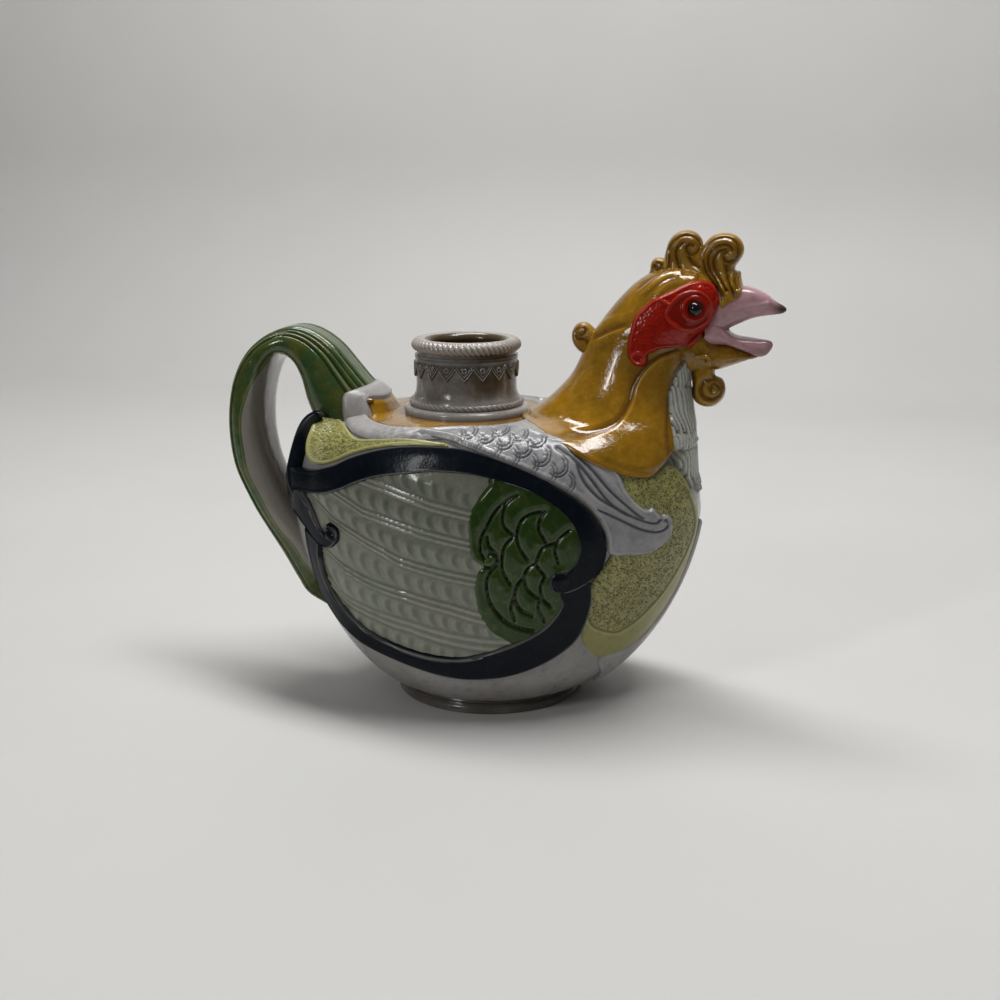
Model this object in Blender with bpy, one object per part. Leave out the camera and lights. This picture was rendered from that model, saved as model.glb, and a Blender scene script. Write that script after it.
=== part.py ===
# Rooster teapot: a glazed, press-moulded jug in the form of a rooster.
# X runs from the handle to the beak, Y to the bird's left, Z up. The pot stands on Z = 0.
import bmesh
import bpy
from math import asin, atan2, cos, pi, radians, sin
from mathutils import Matrix, Vector

MM = 0.001

# Clay and joins
WALL = 5.0 * MM                 # thickness of the pressed clay
GAP = 0.3 * MM                  # join left between two luted pieces
PLATE = 0.8 * MM                # thickness of a glazed panel laid on the body or head
TRIM = 2.0 * MM                 # thickness of a raised band laid on a panel
LOW_TRIM = 1.2 * MM             # thickness of a low band laid on a panel

# Body, measured from the centre of the foot
BODY_FRONT = 104.0 * MM
BODY_REAR = 101.0 * MM
BODY_HALF_WIDTH = 63.0 * MM
BODY_TOP = 140.0 * MM           # level of the saddle under the filler collar
BREAST_HEIGHT = 96.0 * MM       # where the body reaches furthest forward
TAIL_HEIGHT = 100.0 * MM        # where it reaches furthest back
FLANK_HEIGHT = 90.0 * MM        # where it is widest
BELLY_FULLNESS = 1.9            # 2 is an ellipse, more is squarer
BREAST_FULLNESS = 2.8
TAIL_FULLNESS = 3.0
FLANK_FULLNESS = 3.4

# Turned foot
FOOT_RADIUS = 46.0 * MM
FOOT_WIDTH = 10.0 * MM
FOOT_HEIGHT = 6.7 * MM
FOOT_LIP = 0.8 * MM             # depth of the turned groove and of the flare
FOOT_GROOVE_TOP = 0.72          # shares of the foot's height
FOOT_GROOVE_FLOOR = 0.6
FOOT_FLARE = 0.3

# Turned filler collar
COLLAR_X = -12.0 * MM
COLLAR_BORE = 20.0 * MM         # radius
COLLAR_WALL = 4.7 * MM
COLLAR_HEIGHT = 26.5 * MM
FLANGE_REACH = 5.5 * MM
FLANGE_THICKNESS = 2.6 * MM
FLANGE_FLAT = 0.8               # share of its reach that is level
FLANGE_EDGE = 0.6               # share of its thickness that its edge stands upright
BEAD_RADIUS = 1.5 * MM
RIM_RADIUS = 3.9 * MM           # of the rope moulding round the mouth
BAND_HEIGHT = 8.5 * MM
BAND_THICKNESS = 1.4 * MM
SCALLOP_COUNT = 18
SCALLOP_DEPTH = 3.2 * MM
SADDLE_MARGIN = 2.5 * MM        # flat ring of the body outside the flange
BORE_DEPTH = 20.0 * MM          # cut below the saddle for the filler

# Neck and head: share of the rise, rear, front and half width of each section
NECK_RISE = 74.0 * MM           # from the saddle to the crown of the head
NECK_SECTIONS = (
    (-0.60, 16.0, 84.0, 44.0), (-0.40, 11.0, 95.0, 46.5), (-0.24, 11.0, 99.0, 46.5),
    (-0.12, 13.0, 100.0, 43.0), (-0.03, 16.0, 99.8, 38.0), (0.05, 22.0, 98.8, 31.5),
    (0.15, 31.0, 97.6, 26.3), (0.28, 40.0, 96.5, 22.8), (0.43, 45.5, 97.0, 21.0),
    (0.55, 50.0, 101.0, 20.5), (0.66, 55.5, 107.0, 20.2), (0.77, 62.0, 110.0, 19.0),
    (0.88, 70.0, 108.5, 15.5), (0.96, 79.0, 102.5, 9.5), (1.00, 88.0, 93.0, 1.5),
)
CAVITY_TOP = 0.88               # share of the rise where the hollow of the head ends
MOUTH_RADIUS = 4.0 * MM         # pouring hole at the back of the beak
MOUTH_DROP = 32.5 * MM          # its depth under the crown
MOUTH_START = 84.0 * MM
MOUTH_END = 119.0 * MM

# Beak and chin: distance from the foot's centre, lowest and highest drop under the crown, half width
BEAK_UPPER_SECTIONS = (
    (98.0, -32.0, -7.5, 9.0), (108.0, -31.5, -6.5, 9.0), (117.5, -27.5, -8.5, 7.6), (126.0, -24.4, -10.4, 5.2),
    (133.5, -23.2, -14.5, 3.2), (138.8, -22.0, -18.2, 1.7), (140.8, -20.6, -19.2, 0.6),
)
BEAK_LOWER_SECTIONS = (
    (98.0, -38.5, -33.6, 7.6), (110.0, -38.3, -33.2, 7.2), (118.0, -40.4, -36.2, 5.6), (126.0, -41.6, -37.4, 3.9),
    (132.0, -41.4, -38.4, 2.2), (134.7, -40.0, -38.8, 0.7),
)
CHIN_SECTIONS = (
    (92.0, -49.0, -33.0, 10.0), (104.0, -50.5, -34.0, 9.5), (112.0, -49.5, -36.0, 7.6), (120.0, -46.2, -38.0, 5.0),
    (125.0, -43.6, -40.0, 2.6),
)

# Curls of the comb, nape and wattle: root and centre as distance from the foot's centre and rise over the crown
CURL_HALF_WIDTH = 5.5 * MM
CURL_CLEARANCE = 0.6 * MM       # open groove between two turns
CURL_SWEEP = 400.0              # degrees that each curl winds
CURL_EYE = 0.85                 # band widths that the middle of the spiral takes up
CURL_STEM = 0.12                # share of the band's length before it starts to wind
CURL_ROOT = 2.2                 # band widths that the stem is thick where it leaves the head
CURL_SQUARENESS = 0.7           # 1 is a round section, less is squarer
COMB_FRONT_RADIUS = 10.0 * MM
COMB_FRONT_ROOT = (103.0, -8.0)
COMB_FRONT_CENTRE = (112.0, 6.0)
COMB_FRONT_START = 235.0        # degrees where it starts to wind
COMB_REAR_RADIUS = 10.0 * MM
COMB_REAR_ROOT = (93.0, -7.0)
COMB_REAR_CENTRE = (92.5, 8.5)
COMB_REAR_START = 265.0
NAPE_RADIUS = 7.2 * MM
NAPE_ROOT = (52.0, -44.0)
NAPE_CENTRE = (45.0, -35.0)
NAPE_START = 285.0
WATTLE_RADIUS = 9.0 * MM
WATTLE_ROOT = (97.0, -52.0)
WATTLE_CENTRE = (106.0, -59.5)
WATTLE_START = 140.0
NUB_RADIUS = 4.2 * MM
NUB_CENTRE = (79.0, -4.0)

# Eyes
EYE_X = 98.0 * MM
EYE_DROP = 17.6 * MM            # under the crown
EYE_RADIUS = 2.9 * MM
EYELID_HALF_LENGTH = 9.6 * MM
EYELID_HALF_HEIGHT = 6.8 * MM

# Handle: distance behind the tail and height above the saddle, along its outer face and along its inner one
HANDLE_OUTER = (
    (-55.0, -2.0), (-49.0, 8.0), (-41.0, 16.0), (-33.0, 27.0), (-22.0, 37.0), (-9.0, 41.5), (3.0, 39.0), (13.0, 30.5),
    (21.0, 17.5), (26.0, 2.0), (27.5, -14.0), (25.0, -34.0), (19.0, -54.0), (9.0, -71.0), (-3.0, -84.0),
    (-12.0, -94.5), (-21.0, -104.0),
)
HANDLE_INNER = (
    (-31.0, -32.0), (-21.0, -18.0), (-13.0, -6.0), (-9.5, 5.0), (-7.0, 16.0), (-3.0, 23.5), (2.0, 26.8), (8.0, 24.5),
    (13.5, 16.5), (17.5, 5.0), (19.0, -10.0), (17.5, -28.0), (12.0, -47.0), (2.0, -62.0), (-9.0, -74.5),
    (-19.0, -86.0), (-27.0, -94.0),
)
HANDLE_ROOT_WIDTH = 42.0 * MM
HANDLE_GRIP_WIDTH = 38.0 * MM
HANDLE_TIP_WIDTH = 20.0 * MM
HANDLE_GRIP = 0.5               # share of the length where the grip's own width is reached
HANDLE_RIBS = (                 # share of the half width, and how far the outer face is cut down there in millimetres
    (0.0, 0.0), (0.22, 0.0), (0.28, 1.6), (0.34, 0.2), (0.54, 0.2), (0.61, 1.8), (0.68, 0.4), (0.88, 0.8), (1.0, 3.0),
)
HANDLE_INNER_CORNER = 0.92      # share of the half width where the inner face ends

# Panels on the flanks, in shares of the body's length before or behind the foot and of its height
WING_OUTER = (
    (-0.87, 0.775), (-0.66, 0.84), (-0.39, 0.91), (-0.03, 0.95), (0.33, 0.90), (0.57, 0.775), (0.63, 0.655),
    (0.585, 0.54), (0.535, 0.475), (0.55, 0.39), (0.50, 0.295), (0.29, 0.16), (-0.09, 0.105), (-0.415, 0.18),
    (-0.72, 0.295), (-0.83, 0.40), (-0.91, 0.61), (-0.92, 0.715),
)
WING_INNER = (
    (-0.84, 0.73), (-0.655, 0.765), (-0.485, 0.82), (-0.14, 0.87), (0.165, 0.855), (0.40, 0.765), (0.50, 0.645),
    (0.45, 0.54), (0.395, 0.51), (0.415, 0.43), (0.345, 0.325), (0.20, 0.255), (-0.15, 0.19), (-0.535, 0.26),
    (-0.70, 0.385), (-0.75, 0.51), (-0.79, 0.64),
)
WING_SCALES = (
    (0.105, 0.84), (0.04, 0.73), (0.03, 0.64), (0.075, 0.555), (0.05, 0.475), (0.06, 0.385), (0.125, 0.285),
    (0.21, 0.23), (0.44, 0.30), (0.56, 0.475), (0.58, 0.66), (0.45, 0.80), (0.24, 0.88),
)
FEATHER_ROWS = (
    ((-0.44, 0.80), (-0.30, 0.78), (-0.15, 0.75), (0.0, 0.735)),
    ((-0.63, 0.745), (-0.50, 0.71), (-0.34, 0.68), (-0.19, 0.65), (0.0, 0.625)),
    ((-0.76, 0.70), (-0.66, 0.65), (-0.485, 0.60), (-0.31, 0.54), (-0.11, 0.51), (0.02, 0.495)),
    ((-0.71, 0.53), (-0.61, 0.48), (-0.47, 0.44), (-0.27, 0.41), (-0.07, 0.38), (0.03, 0.37)),
    ((-0.68, 0.39), (-0.61, 0.35), (-0.465, 0.32), (-0.27, 0.30), (-0.06, 0.26), (0.10, 0.25)),
)
FEATHER_CORD_WIDTH = 2.6 * MM   # raised cord between two rows of feathers
FEATHER_CORD_RISE = 0.9 * MM
SCALE_GROOVES = (
    ((0.34, 0.75), (0.29, 0.735), (0.25, 0.71), (0.235, 0.66), (0.25, 0.615), (0.285, 0.575)),
    ((0.225, 0.80), (0.19, 0.775), (0.175, 0.73), (0.18, 0.69)),
    ((0.20, 0.64), (0.18, 0.62), (0.172, 0.585), (0.175, 0.54), (0.20, 0.49)),
    ((0.41, 0.64), (0.35, 0.62), (0.325, 0.585), (0.34, 0.535)),
    ((0.275, 0.535), (0.27, 0.49), (0.295, 0.455), (0.325, 0.435)),
    ((0.235, 0.48), (0.225, 0.44), (0.245, 0.395), (0.29, 0.375)),
    ((0.35, 0.50), (0.335, 0.475), (0.345, 0.43), (0.375, 0.405)),
    ((0.09, 0.70), (0.075, 0.65), (0.085, 0.60)),
    ((0.115, 0.52), (0.10, 0.475), (0.11, 0.43), (0.15, 0.37), (0.20, 0.335)),
)
SCALE_GROOVE_WIDTH = 1.6 * MM
SCALE_GROOVE_DEPTH = 0.7 * MM
INSET = 0.985                   # neighbours stop short of each other's outline by this scale
FLANK_START = 2.0 * MM          # panels of the two sides stay this far from the seam
SHOULDER_SCROLL = (
    (0.345, 0.91), (0.49, 0.84), (0.596, 0.77), (0.65, 0.67), (0.645, 0.594), (0.76, 0.568), (0.855, 0.61),
    (0.885, 0.677), (0.845, 0.72), (0.76, 0.76), (0.673, 0.842), (0.606, 0.88), (0.48, 0.917),
)
BREAST_PANEL = (
    (0.365, 0.925), (0.48, 0.865), (0.587, 0.79), (0.65, 0.67), (0.615, 0.54), (0.558, 0.474), (0.572, 0.39),
    (0.53, 0.28), (0.635, 0.18), (0.76, 0.19), (0.865, 0.263), (0.97, 0.383), (1.05, 0.55), (1.04, 0.70),
    (0.97, 0.76), (0.894, 0.83), (0.77, 0.88), (0.577, 0.925),
)
TAIL_PANEL = (
    (-0.79, 0.92), (-0.83, 0.84), (-0.78, 0.825), (-0.575, 0.89), (-0.335, 0.938), (-0.24, 0.95),
    (-0.445, 0.945), (-0.615, 0.937),
)

# Panels on the back, in shares of the body's length and of its half width
BACK_DEPTH = 40.0 * MM          # furthest below the saddle that they reach
BACK_BORDER = (
    (-0.71, 0.0), (-0.66, 0.27), (-0.585, 0.43), (-0.465, 0.61), (-0.22, 0.75), (0.03, 0.81), (0.23, 0.80),
    (0.365, 0.75), (0.46, 0.635), (0.50, 0.0),
)
SADDLE_PANEL = (
    (-0.61, 0.0), (-0.565, 0.27), (-0.465, 0.47), (-0.24, 0.64), (0.03, 0.66), (0.17, 0.525), (0.29, 0.24),
    (0.33, 0.0),
)

# Keel and throat, as half outlines: half width in millimetres and share of the height or of the rise
KEEL_HALF_WIDTH = 4.0 * MM
KEEL_START = 26.0 * MM          # distance from the foot's centre
BIB_START = 52.0 * MM
KEEL_LEAF = (
    (0.0, 0.64), (3.0, 0.60), (4.0, 0.45), (4.0, 0.27), (6.0, 0.185), (13.0, 0.13), (10.0, 0.06), (0.0, 0.04),
)
BIB_TOP = ((0.0, 0.47), (5.5, 0.38), (11.5, 0.28), (14.0, 0.20), (8.0, 0.165), (0.0, 0.155))
BIB_MIDDLE = ((0.0, 0.12), (8.0, 0.125), (15.5, 0.14), (19.5, 0.04), (21.5, -0.08), (19.0, -0.17), (0.0, -0.20))
BIB_BOTTOM = ((0.0, -0.25), (17.0, -0.225), (19.0, -0.28), (14.0, -0.40), (7.0, -0.51), (0.0, -0.58))

# Side of the face, as distance from the foot's centre and drop under the crown
FACE_PATCH = (
    (108.0, -8.0), (101.0, -6.0), (92.0, -9.0), (81.0, -15.0), (73.0, -27.0), (69.0, -36.0), (70.0, -42.0),
    (75.0, -45.0), (79.0, -43.0), (78.0, -39.0), (82.0, -36.0), (93.0, -36.0), (102.0, -35.0), (109.0, -28.0),
    (112.0, -18.0),
)

# Fineness of the curved skins
BODY_TURN_COUNT = 32
BODY_RING_COUNT = 15
NECK_TURN_COUNT = 20
SMALL_TURN_COUNT = 10
SMALL_RING_COUNT = 8
CURL_TURN_COUNT = 8
CURL_RING_COUNT = 20
HANDLE_RING_COUNT = 26
LATHE_STEP_COUNT = 28
BEAD_SIDE_COUNT = 7
MOUTH_SIDE_COUNT = 16
OUTLINE_STEP_COUNT = 2
SHARP_ANGLE = radians(40)
WELD = 0.01 * MM

# Worked out from the sizes above
BODY_FLOOR = FOOT_HEIGHT + GAP
CROWN = BODY_TOP + NECK_RISE
COLLAR_RADIUS = COLLAR_BORE + COLLAR_WALL
SADDLE_RADIUS = COLLAR_RADIUS + GAP + FLANGE_REACH + SADDLE_MARGIN
FLOOR_RADIUS = FOOT_RADIUS + FOOT_LIP
FAR = BODY_FRONT + BODY_REAR    # safely outside every piece
HANDLE_REACH = BODY_REAR + max(x for x, z in HANDLE_OUTER) * MM
BEAK_REACH = BEAK_UPPER_SECTIONS[-1][0] * MM
MIDDLE_X = (BEAK_REACH - HANDLE_REACH) / 2

GLAZES = {
    "grey": ((0.42, 0.41, 0.42), 0.28),
    "lilac": ((0.44, 0.42, 0.47), 0.25),
    "ochre": ((0.55, 0.30, 0.03), 0.15),
    "green": ((0.05, 0.14, 0.03), 0.2),
    "celadon": ((0.36, 0.40, 0.35), 0.25),
    "navy": ((0.02, 0.03, 0.05), 0.2),
    "moss": ((0.38, 0.36, 0.10), 0.25),
    "red": ((0.45, 0.04, 0.03), 0.25),
    "mauve": ((0.45, 0.27, 0.32), 0.25),
    "black": ((0.01, 0.01, 0.01), 0.05),
}


for old in list(bpy.data.objects):
    bpy.data.objects.remove(old, do_unlink=True)

pot = bpy.data.collections.new("rooster_teapot")
cutters = bpy.data.collections.new("cutters")
for collection in (pot, cutters):
    bpy.context.scene.collection.children.link(collection)

# The empty carries every piece, so that the middle of the whole pot stands over the origin.
stand = bpy.data.objects.new("pot_middle", None)
stand.location.x = -MIDDLE_X
pot.objects.link(stand)


def glaze(name, colour):
    finish = bpy.data.materials.new(name)
    finish.use_nodes = True
    shader = finish.node_tree.nodes["Principled BSDF"]
    rgb, roughness = GLAZES[colour]
    shader.inputs["Base Color"].default_value = (*rgb, 1.0)
    shader.inputs["Roughness"].default_value = roughness
    shader.inputs["Metallic"].default_value = 0.0
    return finish


def mesh_from(name, bm):
    mesh = bpy.data.meshes.new(name)
    bm.to_mesh(mesh)
    bm.free()
    return mesh


def piece(name, bm, colour):
    mesh = mesh_from(name, bm)
    mesh.shade_smooth()
    mesh.set_sharp_from_angle(angle=SHARP_ANGLE)
    mesh.materials.append(glaze(name, colour))
    made = bpy.data.objects.new(name, mesh)
    made.parent = stand
    pot.objects.link(made)
    return made


def cutter(name, bm):
    made = bpy.data.objects.new("cut_" + name, mesh_from("cut_" + name, bm))
    made.parent = stand
    made.hide_render = True
    made.display_type = "WIRE"
    cutters.objects.link(made)
    return made


def boolean(target, operation, *tools):
    for tool in tools:
        step = target.modifiers.new(tool.name, "BOOLEAN")
        step.operation = operation
        step.solver = "MANIFOLD"     # skins that lie nearly parallel defeat the exact one
        step.object = tool
    return target


def rounded(value, power):
    return abs(value) ** power * (1 if value >= 0 else -1)


def mix(a, b, share):
    return a + (b - a) * share


def reshaped_sphere(turns, rings, place):
    # A sphere whose rings take the points of place(turn, ring) and whose poles close the end rings.
    bm = bmesh.new()
    bmesh.ops.create_uvsphere(bm, u_segments=turns, v_segments=rings + 1, radius=1.0)
    ends = {}
    for end in (0, rings - 1):
        points = [place(2 * pi * k / turns, end) for k in range(turns)]
        ends[end] = sum(points, Vector()) / turns
    for vert in bm.verts:
        ring = round((asin(max(-1.0, min(1.0, vert.co.z))) / pi + 0.5) * (rings + 1)) - 1
        if ring < 0:
            vert.co = ends[0]
        elif ring >= rings:
            vert.co = ends[rings - 1]
        else:
            vert.co = place(atan2(vert.co.y, vert.co.x), ring)
    bm.normal_update()
    return bm


def body_point(turn, ring):
    # Below its widest line the body draws in to the foot, above it to the saddle.
    rise = 2 * ring / (BODY_RING_COUNT - 1) - 1
    across, aside = cos(turn), sin(turn)
    end = across ** 2
    front = across >= 0
    widest = mix(FLANK_HEIGHT, BREAST_HEIGHT if front else TAIL_HEIGHT, end)
    reach_x = (BODY_FRONT if front else BODY_REAR) * across
    reach_y = BODY_HALF_WIDTH * aside
    if rise < 0:
        power = 2 / BELLY_FULLNESS
        near_x, near_y, level = FLOOR_RADIUS * across, FLOOR_RADIUS * aside, BODY_FLOOR
    else:
        power = 2 / mix(FLANK_FULLNESS, BREAST_FULLNESS if front else TAIL_FULLNESS, end)
        near_x, near_y, level = COLLAR_X + SADDLE_RADIUS * across, SADDLE_RADIUS * aside, BODY_TOP
    lift = abs(rise) * pi / 2
    out = max(0.0, cos(lift)) ** power
    away = sin(lift) ** power
    return Vector((mix(near_x, reach_x, out), mix(near_y, reach_y, out), mix(widest, level, away)))


def rise_at(share):
    return BODY_TOP + share * NECK_RISE


def neck_point(sections, inset):
    def place(turn, ring):
        share, rear, front, half = sections[ring]
        middle = (rear + front) / 2 * MM
        deep = (front - rear) / 2 * MM - inset
        return Vector((middle + deep * cos(turn), (half * MM - inset) * sin(turn), rise_at(share)))
    return place


def beak_point(sections):
    def place(turn, ring):
        along, low, high, half = sections[ring]
        middle = CROWN + (low + high) / 2 * MM
        return Vector((along * MM, half * MM * cos(turn), middle + (high - low) / 2 * MM * sin(turn)))
    return place


def shape(key):
    if key == "body":
        return reshaped_sphere(BODY_TURN_COUNT, BODY_RING_COUNT, body_point)
    if key == "neck":
        return reshaped_sphere(NECK_TURN_COUNT, len(NECK_SECTIONS), neck_point(NECK_SECTIONS, 0.0))
    sections = {"beak_upper": BEAK_UPPER_SECTIONS, "beak_lower": BEAK_LOWER_SECTIONS, "chin": CHIN_SECTIONS}[key]
    return reshaped_sphere(SMALL_TURN_COUNT, len(sections), beak_point(sections))


skins = {}


def skin(key, offset=0.0):
    # The shape's own surface moved out or in by offset, kept for use as a cutter.
    if (key, offset) not in skins:
        bm = shape(key)
        for vert, out in [(vert, vert.normal.copy()) for vert in bm.verts]:
            vert.co += out * offset
        skins[key, offset] = cutter(f"{key}_{offset / MM:.1f}", bm)
    return skins[key, offset]


def slab(name, outline, low, high, axis):
    # A closed outline, smooth through its points, drawn out between two levels of one axis.
    curve = bpy.data.curves.new(name, "CURVE")
    curve.dimensions = "2D"
    curve.fill_mode = "BOTH"
    curve.resolution_u = OUTLINE_STEP_COUNT
    curve.extrude = (high - low) / 2
    line = curve.splines.new("BEZIER")
    line.bezier_points.add(len(outline) - 1)
    line.use_cyclic_u = True
    for knot, (across, up) in zip(line.bezier_points, outline):
        knot.co = (across, up, 0.0)
        knot.handle_left_type = knot.handle_right_type = "AUTO"
    drawn = bpy.data.objects.new(name, curve)
    cutters.objects.link(drawn)
    bpy.context.view_layer.update()
    mesh = bpy.data.meshes.new_from_object(drawn.evaluated_get(bpy.context.evaluated_depsgraph_get()))
    bpy.data.objects.remove(drawn, do_unlink=True)
    turns = {
        "Y": Matrix(((1, 0, 0, 0), (0, 0, -1, (low + high) / 2), (0, 1, 0, 0), (0, 0, 0, 1))),
        "X": Matrix(((0, 0, 1, (low + high) / 2), (1, 0, 0, 0), (0, 1, 0, 0), (0, 0, 0, 1))),
        "Z": Matrix.Translation((0, 0, (low + high) / 2)),
    }
    bm = bmesh.new()
    bm.from_mesh(mesh)
    bmesh.ops.remove_doubles(bm, verts=bm.verts, dist=2 * WELD)
    bmesh.ops.transform(bm, matrix=turns[axis], verts=bm.verts)
    bmesh.ops.recalc_face_normals(bm, faces=bm.faces)
    bpy.data.meshes.remove(mesh)
    return bm


def on_flank(points):
    floor_to_top = BODY_TOP - BODY_FLOOR
    return [(u * (BODY_FRONT if u > 0 else BODY_REAR), BODY_FLOOR + v * floor_to_top) for u, v in points]


def on_back(points):
    half = [(u * (BODY_FRONT if u > 0 else BODY_REAR), v * BODY_HALF_WIDTH) for u, v in points]
    return half + [(x, -y) for x, y in reversed(half[1:-1])]


def both_halves(points, level):
    half = [(width * MM, level(share)) for width, share in points]
    return half + [(-width, height) for width, height in reversed(half[1:-1])]


def on_face(points):
    return [(x * MM, CROWN + drop * MM) for x, drop in points]


def scaled(outline, factor):
    # The outline drawn larger or smaller about its own middle.
    middle = sum((Vector(point) for point in outline), Vector((0, 0))) / len(outline)
    return [middle + (Vector(point) - middle) * factor for point in outline]


def flank_slab(name, outline, side, inner=FLANK_START):
    near, far = sorted((side * inner, side * FAR))
    return slab(name, outline, near, far, "Y")


def laid_on(made, key, base, thickness):
    # Keeps of a slab only the layer that lies on the surface.
    boolean(made, "INTERSECT", skin(key, base + thickness))
    return boolean(made, "DIFFERENCE", skin(key, base))


def lathe(profile, x, steps=LATHE_STEP_COUNT):
    # A closed profile of radius and height, turned about an upright axis.
    bm = bmesh.new()
    ring = [bm.verts.new((radius, 0.0, height)) for radius, height in profile]
    edges = [bm.edges.new((a, b)) for a, b in zip(ring, ring[1:] + ring[:1])]
    bmesh.ops.spin(bm, geom=ring + edges, cent=(0, 0, 0), axis=(0, 0, 1), angle=2 * pi, steps=steps, use_merge=True)
    bmesh.ops.remove_doubles(bm, verts=bm.verts, dist=WELD)
    bmesh.ops.recalc_face_normals(bm, faces=bm.faces)
    bmesh.ops.translate(bm, verts=bm.verts, vec=(x, 0, 0))
    return bm


def rod(start, end, radius, axis, place, steps=LATHE_STEP_COUNT):
    # A plain round cutter along X or Z; place is its centre across that axis.
    bm = bmesh.new()
    bmesh.ops.create_cone(bm, cap_ends=True, segments=steps, radius1=radius, radius2=radius, depth=end - start)
    turn = Matrix.Rotation(radians(90), 4, "Y") if axis == "X" else Matrix.Identity(4)
    middle = (start + end) / 2
    spot = (middle, 0.0, place) if axis == "X" else (place, 0.0, middle)
    bmesh.ops.transform(bm, matrix=Matrix.Translation(spot) @ turn, verts=bm.verts)
    return bm


def other_half(name, side):
    # All that lies beyond the seam, seen from one side of the pot.
    bm = bmesh.new()
    bmesh.ops.create_cube(bm, size=2 * FAR)
    bmesh.ops.translate(bm, verts=bm.verts, vec=(0, side * (GAP / 2 - FAR), 0))
    return cutter(name, bm)


def along(points, share):
    # A smooth line through the points.
    span = min(int(share * (len(points) - 1)), len(points) - 2)
    t = share * (len(points) - 1) - span
    a, b, c, d = (Vector(points[max(0, min(len(points) - 1, span + k))]) for k in (-1, 0, 1, 2))
    return b + (c - a) * t / 2 + (2 * a - 5 * b + 4 * c - d) * t * t / 2 + (3 * b - a - 3 * c + d) * t ** 3 / 2


def strap(rings, turns, path, thickness, width, power):
    # A flat bar that follows a path in the upright middle plane.
    def place(turn, ring):
        share = ring / (rings - 1)
        step = 0.5 / rings
        here = path(share)
        ahead = (path(min(1.0, share + step)) - path(max(0.0, share - step))).normalized()
        out = Vector((ahead.y, -ahead.x))
        spot = here + out * thickness(share) / 2 * rounded(cos(turn), power)
        return Vector((spot.x, width / 2 * rounded(sin(turn), power), spot.y))
    return reshaped_sphere(turns, rings, place)


def above_crown(place):
    return Vector((place[0] * MM, CROWN + place[1] * MM))


def curl(root, centre, radius, start):
    # A stem from the root runs into a spiral that winds clockwise, seen from the bird's right.
    turns = CURL_SWEEP / 360
    band = (radius - CURL_CLEARANCE * turns) / (CURL_EYE + turns)

    def path(share):
        wound = max(0.0, (share - CURL_STEM) / (1 - CURL_STEM))
        angle = radians(start - CURL_SWEEP * wound)
        reach = radius - band / 2 - (band + CURL_CLEARANCE) * turns * wound
        spot = above_crown(centre) + reach * Vector((cos(angle), sin(angle)))
        return spot if share > CURL_STEM else above_crown(root).lerp(spot, share / CURL_STEM)

    def thickness(share):
        return band * mix(CURL_ROOT, 1.0, min(1.0, share / (2 * CURL_STEM)))
    return strap(CURL_RING_COUNT, CURL_TURN_COUNT, path, thickness, 2 * CURL_HALF_WIDTH, CURL_SQUARENESS)


def make_body():
    cavity = skin("body", -WALL)
    passage = cutter("neck_passage", neck_cavity())
    bore = cutter("filler_bore", rod(BODY_TOP - BORE_DEPTH, BODY_TOP + WALL, COLLAR_BORE, "Z", COLLAR_X))
    for name, side in (("body_right", -1), ("body_left", 1)):
        half = piece(name, shape("body"), "grey")
        boolean(half, "DIFFERENCE", other_half("beyond_" + name, side), cavity, passage, bore)


def make_foot():
    inner = FOOT_RADIUS - FOOT_WIDTH
    profile = [
        (inner, FOOT_HEIGHT), (FOOT_RADIUS + FOOT_LIP, FOOT_HEIGHT),
        (FOOT_RADIUS, FOOT_GROOVE_TOP * FOOT_HEIGHT), (FOOT_RADIUS - FOOT_LIP, FOOT_GROOVE_FLOOR * FOOT_HEIGHT),
        (FOOT_RADIUS + FOOT_LIP, FOOT_FLARE * FOOT_HEIGHT), (FOOT_RADIUS, 0.0), (inner, 0.0),
    ]
    piece("foot_ring", lathe(profile, 0.0), "grey")


def ring_profile(middle, level, radius, sides=BEAD_SIDE_COUNT):
    angles = [2 * pi * k / sides for k in range(sides)]
    return [(middle + radius * cos(angle), level + radius * sin(angle)) for angle in angles]


def make_collar():
    seat = BODY_TOP + GAP
    top = seat + COLLAR_HEIGHT
    tube = [(COLLAR_BORE, top), (COLLAR_RADIUS, top), (COLLAR_RADIUS, seat), (COLLAR_BORE, seat)]
    piece("filler_collar", lathe(tube, COLLAR_X), "grey")

    near = COLLAR_RADIUS + GAP
    flange_top = seat + FLANGE_THICKNESS
    flange = [(near, flange_top), (near + FLANGE_FLAT * FLANGE_REACH, flange_top),
              (near + FLANGE_REACH, seat + FLANGE_EDGE * FLANGE_THICKNESS), (near + FLANGE_REACH, seat), (near, seat)]
    piece("collar_flange", lathe(flange, COLLAR_X), "grey")
    bead = ring_profile(near + BEAD_RADIUS, flange_top + GAP + BEAD_RADIUS, BEAD_RADIUS)
    piece("collar_rope_bead", lathe(bead, COLLAR_X), "grey")

    band_low = top - BAND_HEIGHT
    band = [(near, top), (near + BAND_THICKNESS, top), (near + BAND_THICKNESS, band_low), (near, band_low)]
    frill = lathe(band, COLLAR_X, steps=4 * SCALLOP_COUNT)
    for vert in frill.verts:
        if vert.co.z < top - BAND_HEIGHT / 2:
            turn = atan2(vert.co.y, vert.co.x - COLLAR_X)
            vert.co.z += SCALLOP_DEPTH * (1 - abs(cos(turn * SCALLOP_COUNT / 2)))
    piece("collar_scallop_band", frill, "grey")

    rim_middle = COLLAR_RADIUS + BAND_THICKNESS - RIM_RADIUS + 2 * GAP
    rim = ring_profile(rim_middle, top + GAP + RIM_RADIUS, RIM_RADIUS)
    piece("collar_rope_rim", lathe(rim, COLLAR_X), "grey")


def neck_cavity():
    sections = [section for section in NECK_SECTIONS if section[0] <= CAVITY_TOP]
    return reshaped_sphere(NECK_TURN_COUNT, len(sections), neck_point(sections, WALL))


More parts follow.
